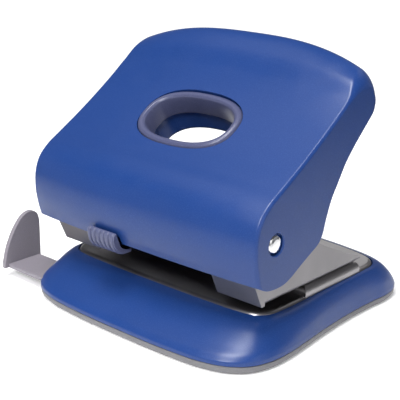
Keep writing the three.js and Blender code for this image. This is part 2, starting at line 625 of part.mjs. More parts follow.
function grommet() {
  const outlines = RING_SECTION.map(([out, up]) => {
    const axes = { x: LIP_AXES.x - RING_WIDTH + out, y: LIP_AXES.y - RING_WIDTH + out };
    return oval(axes).map((p) => v3(p.x, p.y, up).applyMatrix4(slopeFrame()));
  });
  return loftSolid(outlines, true);
}
addPiece('grommet', grommet(), SLATE_PLASTIC);

// ---------------------------------------------------------------- lever arms and press bar
const ARM_OUTLINE = [[-29.8, 46.2], [-21, 44.4], [-15.6, 46.2], [-13.6, 50.4], [-10, 62]];
const ARM_REACH = { rear: 9, front: -19 }; // along the slope
const ARM_EYE_R = 7.6;
const BAR_END_R = 2.5; // of the press bar, where it sits in the arms

/** Under the skin at a distance along the slope, as a (y, z) point. */
function underSkin(along, depth) {
  const point = v3(0, along, -depth).applyMatrix4(slopeFrame());
  return v2(point.y, point.z);
}

function leverArm(side) {
  const flangeTop = ARM_FLANGE.depth;
  const flangeBottom = flangeTop + ARM_FLANGE.thick;
  const eye = [250, 220, 190, 160, 130].reverse().map((degrees) => {
    const angle = THREE.MathUtils.degToRad(degrees);
    return v2(PIVOT.y + ARM_EYE_R * Math.cos(angle), PIVOT.z + ARM_EYE_R * Math.sin(angle));
  });
  const outline = [
    ...ARM_OUTLINE.map(([y, z]) => v2(y, z)),
    underSkin(ARM_REACH.rear, flangeTop), underSkin(ARM_REACH.front, flangeTop), ...eye,
  ];
  const [x0, x1] = side === 'left' ? [-ARM_OUTER, -ARM_OUTER + SHEET] : [ARM_OUTER - SHEET, ARM_OUTER];
  const plate = sidePlate(outline, x0, x1);
  const flangeOutline = [
    underSkin(ARM_REACH.front, flangeBottom), underSkin(ARM_REACH.rear, flangeBottom),
    underSkin(ARM_REACH.rear, flangeTop), underSkin(ARM_REACH.front, flangeTop),
  ];
  const [f0, f1] = side === 'left' ? [x0, -34] : [34, x1];
  const flange = sidePlate(flangeOutline, f0, f1);
  const holes = BOSS_SPOTS.map((spot) => slopePost(spot, 2.1, flangeTop - 1, flangeBottom + 1, 10));
  return cut(
    join(plate, flange),
    rodX(PIVOT.y, PIVOT.z, PIVOT.r + GAP, -60, 60),
    rodX(PUNCH_Y, PIVOT.z, BAR_END_R + GAP, -60, 60, 16),
    ...holes,
  );
}
bothSides.forEach((side) => addPiece(`${side}_lever_arm`, leverArm(side), SHEET_STEEL));

const barShoulder = ARM_OUTER - SHEET - GAP;
const barEnd = ARM_OUTER + 0.8;
const pressBar = turned([[0, -barEnd], [BAR_END_R, -barEnd], [BAR_END_R, -barShoulder],
  [PRESS_BAR_R, -barShoulder], [PRESS_BAR_R, barShoulder], [BAR_END_R, barShoulder],
  [BAR_END_R, barEnd], [0, barEnd]]);
const bar = addPiece('press_bar', pressBar.rotateY(Math.PI / 2), BRIGHT_STEEL);
bar.position.set(0, PUNCH_Y, PIVOT.z);

function handleScrew([across, along]) {
  const under = -(ARM_FLANGE.depth + ARM_FLANGE.thick + GAP);
  const profile = [[0, under - 2], [2.2, under - 2], [3.3, under - 1.1], [3.3, under], [1.5, under],
    [1.5, -3.6], [0, -3.1]];
  return turned(profile, 12).translate(across, along, 0).applyMatrix4(slopeFrame());
}
BOSS_SPOTS.forEach((spot, i) => addPiece(`handle_screw_${i + 1}`, handleScrew(spot), BRIGHT_STEEL));

// ---------------------------------------------------------------- lock slider
const RIB_COUNT = 6;
const RIB_PROUD = 0.7;
const RIB_SHARE = 0.27; // half a rib's width over the ribs' pitch

function lockSlider() {
  const hook = [
    [-53.6, 41.2], [-54.9, 40.6], [-55.1, 38], [-54.2, 35.2], [-52.3, 33], [-49.4, 31.6], [-45.4, 31.3],
    [-45.4, 33.0], [-49.0, 33.6], [-51.0, 35.0], [-52.0, 37.6], [-52.7, 39.6],
  ].map(([y, z]) => v2(y, z));
  const front = sidePlate(hook, SLIDER.x0, SLIDER.x1);
  const neck = box(SLIDER.neck0, SLIDER.neck1, -52.4, -46, 35.6, 37.8);
  const neckFoot = box(SLIDER.neck0, SLIDER.neck1, -46.6, -44.6, 32, 37.8);
  const pitch = (SLIDER.x1 - SLIDER.x0) / RIB_COUNT;
  const ribs = Array.from({ length: RIB_COUNT }, (_, i) => {
    const middle = SLIDER.x0 + pitch * (i + 0.5);
    const proud = hook.slice(0, 7).map((p) => v2(p.x, p.y));
    const back = offset(proud, RIB_PROUD);
    const face = offset(proud, -RIB_PROUD);
    const half = pitch * RIB_SHARE;
    return sidePlate([...face, ...back.reverse()], middle - half, middle + half);
  });
  return join(front, neck, neckFoot, ...ribs);
}
addPiece('lock_slider', lockSlider(), SLATE_PLASTIC);

// ---------------------------------------------------------------- paper guide
const FIN_THICK = 2.2;

function paperGuide() {
  const { y0, y1, z0, z1 } = GUIDE_BAR;
  const finOutline = [
    v2(-31.6, z0), ...smooth([[-31.4, 22.6], [-32.6, 26.6], [-36.2, 28.6], [-40.8, 27.4], [-46, 22],
      [-50.3, 14.2], [-52.4, 7.4]], 14), v2(-52.4, z0),
  ];
  const fin = sidePlate(finOutline, GUIDE_FIN_X - FIN_THICK, GUIDE_FIN_X);
  const barPlate = box(GUIDE_FIN_X - 1, GUIDE_BAR_END_X, y0, y1, z0, z1);
  return join(fin, barPlate);
}
addPiece('paper_guide', paperGuide(), PALE_PLASTIC);

export default root;
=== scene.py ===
"""The look of a two-hole desk punch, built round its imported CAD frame.

Shapes are in the frame's millimetres, and in metres once a mesh is made.
X runs along the punch, the paper goes in from -Y, and Z is up from the resting surface.
"""

import json
import math
from contextlib import contextmanager

import bmesh
import bpy
import numpy as np
from mathutils import Matrix, Vector


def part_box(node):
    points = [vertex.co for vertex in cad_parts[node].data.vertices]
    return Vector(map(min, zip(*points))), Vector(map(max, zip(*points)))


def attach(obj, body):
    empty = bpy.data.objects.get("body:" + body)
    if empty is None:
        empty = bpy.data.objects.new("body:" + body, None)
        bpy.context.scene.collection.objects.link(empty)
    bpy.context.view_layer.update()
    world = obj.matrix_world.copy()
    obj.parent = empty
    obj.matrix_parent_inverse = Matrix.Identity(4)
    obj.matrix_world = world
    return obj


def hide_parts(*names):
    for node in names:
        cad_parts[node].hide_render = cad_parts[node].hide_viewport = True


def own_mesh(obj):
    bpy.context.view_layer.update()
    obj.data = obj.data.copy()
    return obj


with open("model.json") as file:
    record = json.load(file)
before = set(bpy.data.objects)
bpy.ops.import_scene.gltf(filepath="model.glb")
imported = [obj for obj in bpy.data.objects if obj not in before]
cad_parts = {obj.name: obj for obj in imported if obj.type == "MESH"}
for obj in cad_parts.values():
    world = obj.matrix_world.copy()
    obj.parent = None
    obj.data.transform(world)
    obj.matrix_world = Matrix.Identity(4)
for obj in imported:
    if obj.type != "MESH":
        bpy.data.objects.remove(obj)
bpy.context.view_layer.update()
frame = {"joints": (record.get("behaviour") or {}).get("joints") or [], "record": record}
MM = 0.001  # metres

# ------ camera
CAMERA = {
    "azimuth": 42.34, "elevation": 18.34, "roll": 0.26,  # degrees
    "distance": 438.5, "target": (-9.4, 0.0, 41.6), "lens": 90.0,  # mm
}


def make_camera():
    azimuth, elevation, roll = (math.radians(CAMERA[k]) for k in ("azimuth", "elevation", "roll"))
    forward = Vector((
        -math.sin(azimuth) * math.cos(elevation),
        math.cos(azimuth) * math.cos(elevation),
        -math.sin(elevation),
    ))
    right = Vector((math.cos(azimuth), math.sin(azimuth), 0))
    up = right.cross(forward)
    tilted_right = right * math.cos(roll) + up * math.sin(roll)
    tilted_up = up * math.cos(roll) - right * math.sin(roll)
    data = bpy.data.cameras.new("camera")
    data.lens = CAMERA["lens"]
    data.sensor_width = 36.0
    data.clip_start = 0.01
    camera = bpy.data.objects.new("camera", data)
    turn = Matrix((tilted_right, tilted_up, -forward)).transposed()
    place = (Vector(CAMERA["target"]) - forward * CAMERA["distance"]) * MM
    camera.matrix_world = Matrix.Translation(place) @ turn.to_4x4()
    bpy.context.scene.collection.objects.link(camera)
    bpy.context.scene.camera = camera


make_camera()


# ------ materials
# How fine each kind of detail is, in features per metre.
PLASTIC = {"flow": 22, "speckle": 2600, "gloss": 95, "grain": 1500, "waves": 60}
ROLLED = {"stains": 35, "polish": 55, "streaks": 900, "waves": 120}
TURNED = {"spots": 160, "polish": 420, "tool_marks": 900}
CONVEX = (0.57, 0.72)  # pointiness where an edge starts to count, and where it counts in full
RANGE_SOCKETS = ("From Min", "From Max", "To Min", "To Max")
STREAK = 0.04  # scale of the noise along the streaks of rolled sheet, against 1 across them


class Shader:
    """A Principled material with short calls for the nodes that the finishes share."""

    def __init__(self, name, metallic=0.0, **values):
        self.material = bpy.data.materials.new(name)
        self.material.use_nodes = True
        self.nodes = self.material.node_tree.nodes
        self.links = self.material.node_tree.links
        self.surface = self.nodes["Principled BSDF"]
        self.surface.inputs["Metallic"].default_value = metallic
        for socket, value in values.items():
            self.surface.inputs[socket.replace("_", " ")].default_value = value
        self.place = self.node("ShaderNodeTexCoord").outputs["Object"]
        self.bumps = None

    def node(self, kind, **settings):
        made = self.nodes.new(kind)
        for key, value in settings.items():
            setattr(made, key, value)
        return made

    def noise(self, scale, detail=2.0, stretch=(1, 1, 1)):
        """Noise over the piece: scale is in features per metre."""
        mapping = self.node("ShaderNodeMapping")
        mapping.inputs["Scale"].default_value = stretch
        self.links.new(self.place, mapping.inputs["Vector"])
        noise = self.node("ShaderNodeTexNoise")
        noise.inputs["Scale"].default_value = scale
        noise.inputs["Detail"].default_value = detail
        self.links.new(mapping.outputs[0], noise.inputs["Vector"])
        return noise.outputs["Fac"]

    def remap(self, source, low, high, start=0.3, end=0.7):
        """The source, stretched from start..end to low..high."""
        ramp = self.node("ShaderNodeMapRange")
        for socket, value in zip(RANGE_SOCKETS, (start, end, low, high)):
            ramp.inputs[socket].default_value = value
        self.links.new(source, ramp.inputs["Value"])
        return ramp.outputs["Result"]

    def mix(self, factor, first, second):
        """Two colours, or a colour source and a colour, mixed by a factor source."""
        mixer = self.node("ShaderNodeMix", data_type="RGBA")
        self.links.new(factor, mixer.inputs[0])
        for socket, colour in ((mixer.inputs[6], first), (mixer.inputs[7], second)):
            if isinstance(colour, tuple):
                socket.default_value = (*colour, 1.0)
            else:
                self.links.new(colour, socket)
        return mixer.outputs[2]

    def edges(self):
        """1 along convex edges, 0 elsewhere."""
        pointed = self.node("ShaderNodeNewGeometry").outputs["Pointiness"]
        return self.remap(pointed, 0, 1, *CONVEX)

    def colour(self, source):
        self.links.new(source, self.surface.inputs["Base Color"])

    def roughness(self, source):
        self.links.new(source, self.surface.inputs["Roughness"])

    def bump(self, source, strength, depth):
        """One more layer of relief, depth in metres."""
        bump = self.node("ShaderNodeBump")
        bump.inputs["Strength"].default_value = strength
        bump.inputs["Distance"].default_value = depth
        self.links.new(source, bump.inputs["Height"])
        if self.bumps is not None:
            self.links.new(self.bumps, bump.inputs["Normal"])
        self.bumps = bump.outputs["Normal"]
        self.links.new(self.bumps, self.surface.inputs["Normal"])


def moulded_plastic(name, colour, worn, gloss, specular=0.5):
    """Moulded plastic: fine spark-eroded grain, faint flow marks, edges polished by use."""
    shader = Shader(name, Specular_IOR_Level=specular)
    deeper = tuple(c * 0.93 for c in colour)
    flow = shader.noise(PLASTIC["flow"], detail=3)
    tone = shader.mix(shader.remap(flow, 0, 1), colour, deeper)
    speckle = shader.noise(PLASTIC["speckle"], detail=1)
    tone = shader.mix(shader.remap(speckle, 0, 0.16, 0.45, 0.75), tone, worn)
    shader.colour(shader.mix(shader.remap(shader.edges(), 0, 0.4, 0, 1), tone, worn))
    shader.roughness(shader.remap(shader.noise(PLASTIC["gloss"], detail=4), *gloss))
    shader.bump(shader.noise(PLASTIC["grain"], detail=2), 0.10, 0.00006)
    shader.bump(shader.noise(PLASTIC["waves"], detail=2), 0.05, 0.0002)
    return shader.material


def rolled_metal(name, colour, rough, along, metallic=1.0, relief=0.07):
    """Rolled sheet: fine streaks one way, soft stains, and patches polished by use."""
    shader = Shader(name, metallic=metallic)
    stretch = tuple(STREAK if axis == along else 1.0 for axis in "XYZ")
    stain = shader.remap(shader.noise(ROLLED["stains"], detail=4), 0, 1)
    darker = tuple(c * 0.82 for c in colour)
    shader.colour(shader.mix(stain, colour, darker))
    polish = shader.noise(ROLLED["polish"], detail=2)
    shader.roughness(shader.remap(polish, rough * 0.88, rough * 1.12))
    shader.bump(shader.noise(ROLLED["streaks"], detail=3, stretch=stretch), relief, 0.00003)
    shader.bump(shader.noise(ROLLED["waves"], detail=3), relief * 0.7, 0.00012)
    return shader.material


def turned_metal(name, colour, rough):
    """Turned and plated rod: near mirror, with fine tool marks and a few dull spots."""
    shader = Shader(name, metallic=1.0)
    darker = tuple(c * 0.78 for c in colour)
    spots = shader.remap(shader.noise(TURNED["spots"], detail=5), 0, 1, 0.5, 0.75)
    shader.colour(shader.mix(spots, colour, darker))
    shader.roughness(shader.remap(shader.noise(TURNED["polish"], detail=4), rough * 0.7, rough * 1.5))
    shader.bump(shader.noise(TURNED["tool_marks"], detail=2), 0.03, 0.00003)
    return shader.material


FINISH = {
    "blue_plastic": moulded_plastic(
        "blue_moulding", (0.010, 0.044, 0.202), (0.08, 0.155, 0.36), (0.29, 0.38), specular=0.45),
    "grey_plastic": moulded_plastic(
        "grey_moulding", (0.175, 0.172, 0.182), (0.32, 0.32, 0.33), (0.42, 0.55)),
    "pale_grey_plastic": moulded_plastic(
        "pale_grey_moulding", (0.245, 0.225, 0.26), (0.42, 0.41, 0.43), (0.38, 0.5)),
    "slate_plastic": moulded_plastic(
        "slate_moulding", (0.088, 0.098, 0.185), (0.26, 0.28, 0.40), (0.30, 0.40)),
    "nylon": moulded_plastic(
        "natural_nylon", (0.66, 0.64, 0.57), (0.78, 0.76, 0.70), (0.42, 0.55)),
    "sheet_steel": rolled_metal("rolled_steel", (0.265, 0.255, 0.262), 0.38, "Y", 0.8),
    "bright_steel": turned_metal("plated_steel", (0.80, 0.80, 0.81), 0.11),
    "spring_steel": turned_metal("drawn_spring_wire", (0.30, 0.30, 0.32), 0.24),
}
RING_SLATE = moulded_plastic(
    "ring_moulding", (0.074, 0.082, 0.165), (0.22, 0.24, 0.36), (0.28, 0.38))
BED_STEEL = rolled_metal("polished_bed_steel", (0.37, 0.355, 0.362), 0.32, "X", relief=0.01)


# ------ curves and outlines
def smooth(pairs, count, closed=False):
    """Evenly spaced points along a centripetal Catmull-Rom curve through the pairs."""
    p = np.array(pairs, float)
    before_first, after_last = (p[-1:], p[:2]) if closed else (2 * p[0] - p[1], 2 * p[-1] - p[-2])
    ring = np.vstack([before_first, p, after_last])
    t = np.linspace(0, 1, 25)[:, None]
    runs = []
    for a, b, c, d in zip(ring, ring[1:], ring[2:], ring[3:]):
        before, here, after = (math.sqrt(np.linalg.norm(v)) for v in (b - a, c - b, d - c))
        start = ((b - a) / before - (c - a) / (before + here) + (c - b) / here) * here
        end = ((c - b) / here - (d - b) / (here + after) + (d - c) / after) * here
        curve = (2 * t**3 - 3 * t**2 + 1) * b + (t**3 - 2 * t**2 + t) * start
        curve += (3 * t**2 - 2 * t**3) * c + (t**3 - t**2) * end
        runs.append(curve[:-1])
    line = np.vstack([*runs, p[:1] if closed else p[-1:]])
    points = spaced(line, count)
    return points[:-1] if closed else points


def spaced(line, count):
    """count + 1 points evenly spaced along a polyline."""
    line = np.array(line, float)
    length = np.concatenate([[0], np.cumsum(np.linalg.norm(np.diff(line, axis=0), axis=1))])
    at = np.linspace(0, length[-1], count + 1)
    return np.stack([np.interp(at, length, line[:, k]) for k in range(line.shape[1])], axis=1)


def offset(points, distance, closed=False):
    """A polyline moved sideways, to the left of its direction."""
    p = np.array(points, float)
    if closed:
        along = np.roll(p, -1, axis=0) - np.roll(p, 1, axis=0)
    else:
        along = np.gradient(p, axis=0)
    along /= np.linalg.norm(along, axis=1)[:, None]
    return p + distance * np.stack([-along[:, 1], along[:, 0]], axis=1)


def filleted(points, radius, steps=4, closed=True, sharp=()):
    """The polyline with each corner rounded, apart from the sharp ones."""
    p = [np.array(q, float) for q in points]
    out = []
    for i, corner in enumerate(p):
        if i in sharp or (not closed and i in (0, len(p) - 1)):
            out.append(corner)
            continue
        back, on = p[i - 1] - corner, p[(i + 1) % len(p)] - corner
        reach_back, reach_on = np.linalg.norm(back), np.linalg.norm(on)
        back, on = back / reach_back, on / reach_on
        half = math.acos(max(-1.0, min(1.0, float(back @ on)))) / 2
        if half > math.radians(86):
            out.append(corner)
            continue
        reach = min(radius / math.tan(half), 0.48 * reach_back, 0.48 * reach_on)
        r = reach * math.tan(half)
        centre = corner + (back + on) / np.linalg.norm(back + on) * (r / math.sin(half))
        first = corner + back * reach - centre
        last = corner + on * reach - centre
        sweep = math.pi - 2 * half
        for k in range(steps + 1):
            s = k / steps
            point = (math.sin((1 - s) * sweep) * first + math.sin(s * sweep) * last) / math.sin(sweep)
            out.append(centre + point)
    return np.array(out)


def ease(share):
    share = np.clip(share, 0, 1)
    return share * share * (3 - 2 * share)


def mirrored_outline(half, count):
    """Right half of a plan outline, front to rear, closed by its mirror image."""
    left = [(-x, y) for x, y in half[-2:0:-1]]
    return smooth([*half, *left], count, closed=True)


def at_height(outline, z):
    return np.column_stack([outline, np.full(len(outline), z)])


# ------ meshes
def mesh_object(name, points, faces):
    """A mesh from points in millimetres."""
    mesh = bpy.data.meshes.new(name)
    mesh.from_pydata((np.array(points) * MM).tolist(), [], faces)
    mesh.validate()
    made = bpy.data.objects.new(name, mesh)
    bpy.context.scene.collection.objects.link(made)
    return made


@contextmanager
def editing(made):
    """The object's mesh as a bmesh, written back to the object afterwards."""
    work = bmesh.new()
    work.from_mesh(made.data)
    yield work
    work.to_mesh(made.data)
    work.free()


def outwards(made):
    """Faces turned to point out of the closed mesh."""
    with editing(made) as work:
        bmesh.ops.remove_doubles(work, verts=work.verts, dist=0.0001 * MM)
        bmesh.ops.recalc_face_normals(work, faces=work.faces)
    return made


def loft(name, loops, join_ends=False):
    """A skin of quads over equally long closed loops. Ends are capped, or joined to each other."""
    count = len(loops[0])
    faces = []
    for i in range(len(loops) if join_ends else len(loops) - 1):
        here, there = i * count, (i + 1) % len(loops) * count
        for j in range(count):
            k = (j + 1) % count
            faces.append((here + j, here + k, there + k, there + j))
    if not join_ends:
        faces.append(tuple(range(count)))
        faces.append(tuple((len(loops) - 1) * count + j for j in range(count)))
    return outwards(mesh_object(name, np.vstack(loops), faces))


def shell(name, outer, inner):
    """A wall between two skins, each a list of equally long columns of points."""
    rows, count = len(outer), len(outer[0])
    faces = []
    for i in range(rows - 1):
        for j in range(count - 1):
            quad = (i * count + j, i * count + j + 1, (i + 1) * count + j + 1, (i + 1) * count + j)
            faces += [quad, tuple(rows * count + k for k in reversed(quad))]
    border = list(range(count))
    border += [(i + 1) * count - 1 for i in range(1, rows)]
    border += [(rows - 1) * count + j for j in range(count - 2, -1, -1)]
    border += [i * count for i in range(rows - 2, 0, -1)]
    for here, there in zip(border, border[1:] + border[:1]):
        faces.append((here, there, rows * count + there, rows * count + here))
    return outwards(mesh_object(name, np.vstack([*outer, *inner]), faces))


def side_plate(name, outline, x0, x1, edge=0.0):
    """A (y, z) outline extruded along X, with its two rims rounded by edge."""
    outline = np.array(outline, float)
    area = np.sum(outline[:, 0] * np.roll(outline[:, 1], -1) - outline[:, 1] * np.roll(outline[:, 0], -1))
    inwards = 1 if area > 0 else -1
    angles = np.linspace(0, math.pi / 2, 4) if edge else [math.pi / 2]
    near = [(edge * (1 - math.sin(a)), edge * (1 - math.cos(a))) for a in angles]
    rims = [(x0 + depth, inset) for inset, depth in near]
    rims += [(x1 - depth, inset) for inset, depth in reversed(near)]
    loops = []
    for x, inset in rims:
        flat = offset(outline, inwards * inset, closed=True) if inset else outline
        loops.append(np.column_stack([np.full(len(flat), x), flat]))
    return loft(name, loops)


def turned(name, profile, sides, centre, edge=0.0, axis="Z"):
    """A (radius, height) profile turned about Z, or about X through (y, z).

    A profile that starts and ends on the axis is a solid; any other is a closed ring.
    """
    solid = profile[0][0] == 0
    line = filleted(profile, edge, steps=3, closed=not solid) if edge else np.array(profile, float)
    body = line[1:-1] if solid else line
    loops = []
    for angle in np.linspace(0, 2 * math.pi, sides, endpoint=False):
        loops.append(np.column_stack([
            body[:, 0] * math.cos(angle), body[:, 0] * math.sin(angle), body[:, 1]]))
    count = len(body)
    points = np.vstack(loops)
    faces = []
    for i in range(sides):
        here, there = i * count, (i + 1) % sides * count
        for j in range(count - 1 if solid else count):
            k = (j + 1) % count
            faces.append((here + j, here + k, there + k, there + j))
    if solid:
        points = np.vstack([points, [[0, 0, line[0][1]], [0, 0, line[-1][1]]]])
        for i in range(sides):
            here, there = i * count, (i + 1) % sides * count
            faces.append((here, there, sides * count))
            faces.append((there + count - 1, here + count - 1, sides * count + 1))
    if axis == "X":
        points = np.column_stack([points[:, 2], points[:, 0] + centre[0], points[:, 1] + centre[1]])
    else:
        points = points + np.array([centre[0], centre[1], 0])
    return outwards(mesh_object(name, points, faces))


def block(name, x, y, z, edge=0.0):
    """A box between pairs of limits, its edges along X rounded by edge."""
    (y0, y1), (z0, z1) = y, z
    corners = [(y0, z0), (y1, z0), (y1, z1), (y0, z1)]
    outline = filleted(corners, edge) if edge else corners
    return side_plate(name, outline, x[0], x[1])


def post(x, y, radius, z0, z1):
    """An upright cylinder at (x, y)."""
    return turned("tool", [(0, z0), (radius, z0), (radius, z1), (0, z1)], 40, (x, y))


def cross_drill(radius, centre):
    """A cylinder along X, right through the punch at (y, z)."""
    profile = [(0, -BEYOND), (radius, -BEYOND), (radius, BEYOND), (0, BEYOND)]
    return turned("tool", profile, 48, centre, axis="X")


def settle(made):
    """Applies the object's modifiers to its mesh."""
    graph = bpy.context.evaluated_depsgraph_get()
    mesh = bpy.data.meshes.new_from_object(made.evaluated_get(graph))
    made.modifiers.clear()
    made.data = mesh
    return made


def combine(made, operation, *tools):
    """Joins the tools to the piece, cuts them from it, or keeps only what is in them."""
    for tool in tools:
        step = made.modifiers.new("step", "BOOLEAN")
        step.operation = operation
        step.solver = "MANIFOLD"
        step.object = tool
    settle(made)
    for tool in tools:
        bpy.data.objects.remove(tool)
    return made


def soften(made, width, angle=40, segments=2):
    """Rounds the edges that are sharper than an angle by a width in millimetres."""
    step = made.modifiers.new("rounding", "BEVEL")
    step.width = width * MM
    step.segments = segments
    step.limit_method = "ANGLE"
    step.angle_limit = math.radians(angle)
    step.use_clamp_overlap = True
    return settle(made)


def whole_faces(made):
    """Joins the slivers that cuts leave in flat areas into whole faces."""
    with editing(made) as work:
        bmesh.ops.dissolve_limit(work, angle_limit=math.radians(0.08), verts=work.verts, edges=work.edges)
    return made


def weld(made):
    """Joins corners that lie on one another, so that every face has a size."""
    with editing(made) as work:
        bmesh.ops.remove_doubles(work, verts=work.verts, dist=0.001 * MM)
    return made


def shade(made, angle):
    """Smooth shading, with edges sharper than an angle kept crisp."""
    made.data.shade_smooth()
    made.data.set_sharp_from_angle(angle=math.radians(angle))
    weighted = made.modifiers.new("weighted_normals", "WEIGHTED_NORMAL")
    weighted.keep_sharp = True
    return made


# ------ how a piece joins the frame
BODY_OF = {
    node: body for body, nodes in frame["record"]["behaviour"]["bodies"].items() for node in nodes
}


def finish_piece(made, node, slot, material=None, angle=32):
    """The piece stands for a CAD node, rides on its body and takes its slot's finish."""
    made.data.materials.clear()
    made.data.materials.append(material or FINISH[slot])
    shade(weld(made), angle)
    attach(made, BODY_OF[node])
    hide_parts(node)
    return made


def limits(node):
    """Lowest and highest corner of a CAD node, in millimetres."""
    low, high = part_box(node)
    return np.array(low) / MM, np.array(high) / MM


# ------ driving sizes
GAP = 0.3  # between pieces that do not touch
SLIDE_GAP = 0.25  # between a punch and what it slides in
SHEET = 2.0  # thickness of the steel
BEYOND = 70.0  # half length of a cutting tool that goes right through
JOINTS = {joint["name"]: joint for joint in frame["joints"]}
PIVOT_Y, PIVOT_Z = (v / MM for v in JOINTS["handle_hinge"]["pos_m"][1:])
PUNCH_Y = -21.0
PUNCH_X = 40.0
PUNCH_R = 3.0
BUSH_SEAT_R = 5.0  # hole in the frame's floor for a guide bush
AXLE_R = 4.0
PRESS_BAR_R, PRESS_BAR_END_R = 4.0, 2.5
PAPER_STOP_Y = -9.0

# ------ plan outlines: right half, front to rear
PLAN_POINTS = 240
BASE_HALF = [
    (0, -60.6), (28, -60), (44, -58.2), (54, -54.6), (60.6, -48.6), (63.8, -40), (64.4, -30), (63.2, -16),
    (61.6, 0), (60.7, 18), (60.9, 33), (61.4, 44), (59, 53.4), (51, 59.4), (34, 61.4), (0, 61.8),
]
BED_HALF = [
    (0, -37.4), (26, -37.1), (44, -36.2), (51, -34.6), (54.8, -30), (55.8, -22), (55.8, 4),
    (55.8, 31), (55.1, 39.4), (51.8, 44.4), (45.8, 47), (32, 49.2), (16, 50.4), (0, 50.8),
]
BASE_OUTLINE = mirrored_outline(BASE_HALF, PLAN_POINTS)
BED_OUTLINE = mirrored_outline(BED_HALF, PLAN_POINTS)
SCREW_SPOTS = [(-47.5, -28), (47.5, -28), (-47.5, 40.5), (47.5, 40.5)]
RIVET_SPOTS = [(-40, 2), (40, 2), (-40, 20), (40, 20)]
RIVET_R = 2.2
THREAD_R = 1.5  # of the screws
THREAD_ROOM_R = 1.8  # hole that a screw turns into

# ------ chip tray
RIM_Z = 4.0
TRAY_FLOOR = 1.6
TRAY_RIM_WIDTH = 4.0
TRAY_SECTION = [  # in from the base's outline, height
    (2.6, 0), (1.9, 0.1), (1.3, 0.5), (0.7, 1.2), (0.35, 1.9), (0.2, 2.6), (0.2, 3.45), (0.35, RIM_Z - GAP),
]
CHIP_WELL = {"x": 50.0, "y": (-29.5, 42.0), "wall": 1.5}


def chip_tray():
    top = limits("chip_tray")[1][2]
    tray = loft("chip_tray_shell", [
        at_height(offset(BASE_OUTLINE, inset, closed=True), z) for inset, z in TRAY_SECTION])
    rim = offset(BASE_OUTLINE, TRAY_RIM_WIDTH, closed=True)
    pocket = loft("tool", [at_height(rim, TRAY_FLOOR), at_height(rim, RIM_Z - GAP + 1)])
    combine(tray, "DIFFERENCE", pocket)
    x, (y0, y1), wall = CHIP_WELL["x"], CHIP_WELL["y"], CHIP_WELL["wall"]
    well = block("tool", (-x, x), (y0, y1), (TRAY_FLOOR - 0.5, top))
    room = block("tool", (wall - x, x - wall), (y0 + wall, y1 - wall), (TRAY_FLOOR - 1, top + 1))
    combine(well, "DIFFERENCE", room)
    combine(tray, "UNION", well)
    soften(tray, 0.25, angle=50)
    finish_piece(tray, "chip_tray", "grey_plastic")


# ------ base cover
COVER_TOP_Z = 17.2
COVER_WALL = 2.2
LEDGE_TOP_Z = 13.0
LEDGE_BOTTOM_Z = 10.8
LEDGE_REACH = 10.0
COVER_RIM_R = 0.7
COVER_WIDE = smooth([
    (0, COVER_TOP_Z), (0.14, 16.6), (0.34, 14.6), (0.54, 12.1), (0.74, 9.6), (0.9, 7.6), (1, 5.6),
], 30)
COVER_NARROW = smooth([
    (0, COVER_TOP_Z), (0.16, 16.9), (0.34, 16.1), (0.54, 14.6), (0.74, 12.3), (0.9, 9.4), (1, 5.6),
], 30)
COVER_REACH = (8.0, 19.0)  # where the cover counts as narrow, and as wide
GUIDE_BAR = {"y": (-50.5, -32.5), "z": (4.4, 6.2), "end_x": 26.0}
GUIDE_SLOT = {"x": (-70.5, -38.0), "room": 0.6}
COVER_HOLE_R = 1.9  # for the screws, in the ledge


def cover_section(reach):
    """One section of the cover, as equally many (reach from the bed's edge, height) points."""
    slope = COVER_NARROW + (COVER_WIDE - COVER_NARROW) * ease((reach - COVER_REACH[0]) / np.ptp(COVER_REACH))
    skin = np.column_stack([GAP + slope[:, 0] * (reach - GAP), slope[:, 1]])
    corner, foot = skin[-1], np.array([reach, RIM_Z])
    start = skin[-2] + (corner - skin[-2]) * 0.1
    end = corner + np.array([0, -COVER_RIM_R])
    t = np.linspace(0, 1, 6)[:, None]
    rim = np.vstack([(1 - t) ** 2 * start + 2 * t * (1 - t) * corner + t**2 * end, foot])
    inside = np.column_stack([
        np.maximum(skin[10:, 0] - COVER_WALL, 0.5),
        np.clip(skin[10:, 1] - COVER_WALL, RIM_Z, LEDGE_BOTTOM_Z - 0.4)])
    inside[-1, 1] = RIM_Z
    ledge = [(-LEDGE_REACH, LEDGE_BOTTOM_Z), (-LEDGE_REACH, LEDGE_TOP_Z), (GAP, LEDGE_TOP_Z)]
    return np.vstack([skin[:-1], rim, inside[::-1], ledge])


def base_cover():
    loops = []
    for inner, outer in zip(BED_OUTLINE, BASE_OUTLINE):
        reach = np.linalg.norm(outer - inner)
        outward = (outer - inner) / reach
        section = cover_section(reach)
        loops.append(np.column_stack([inner + outward * section[:, :1], section[:, 1]]))
    cover = loft("base_cover_shell", loops, join_ends=True)
    room = GUIDE_SLOT["room"]
    (y0, y1), top = GUIDE_BAR["y"], GUIDE_BAR["z"][1]
    slot = block("tool", GUIDE_SLOT["x"], (y0 - room, y1 + room), (RIM_Z - 1, top + room))
    holes = [post(x, y, COVER_HOLE_R, LEDGE_BOTTOM_Z - 2, LEDGE_TOP_Z + 1) for x, y in SCREW_SPOTS]
    combine(cover, "DIFFERENCE", slot, *holes)
    finish_piece(cover, "base_cover", "blue_plastic", angle=40)


# ------ bed with the dies
DECK_Z = 18.0
STAND_Z = 22.4
STAND_REAR_Y = 29.0
BED_ROLL_R = 2.2
STAND_ROLL_R = 3.8
STAND_EDGE_R = 3.2  # along its front and rear
SKIRT_Z = LEDGE_TOP_Z + GAP
BOSS_R = 4.0
DIE_HOLE = [
    (0, 10), (PUNCH_R + SLIDE_GAP, 10), (PUNCH_R + SLIDE_GAP, DECK_Z - 0.25),
    (PUNCH_R + 0.6, DECK_Z + 0.1), (PUNCH_R + 0.6, 30), (0, 30),
]


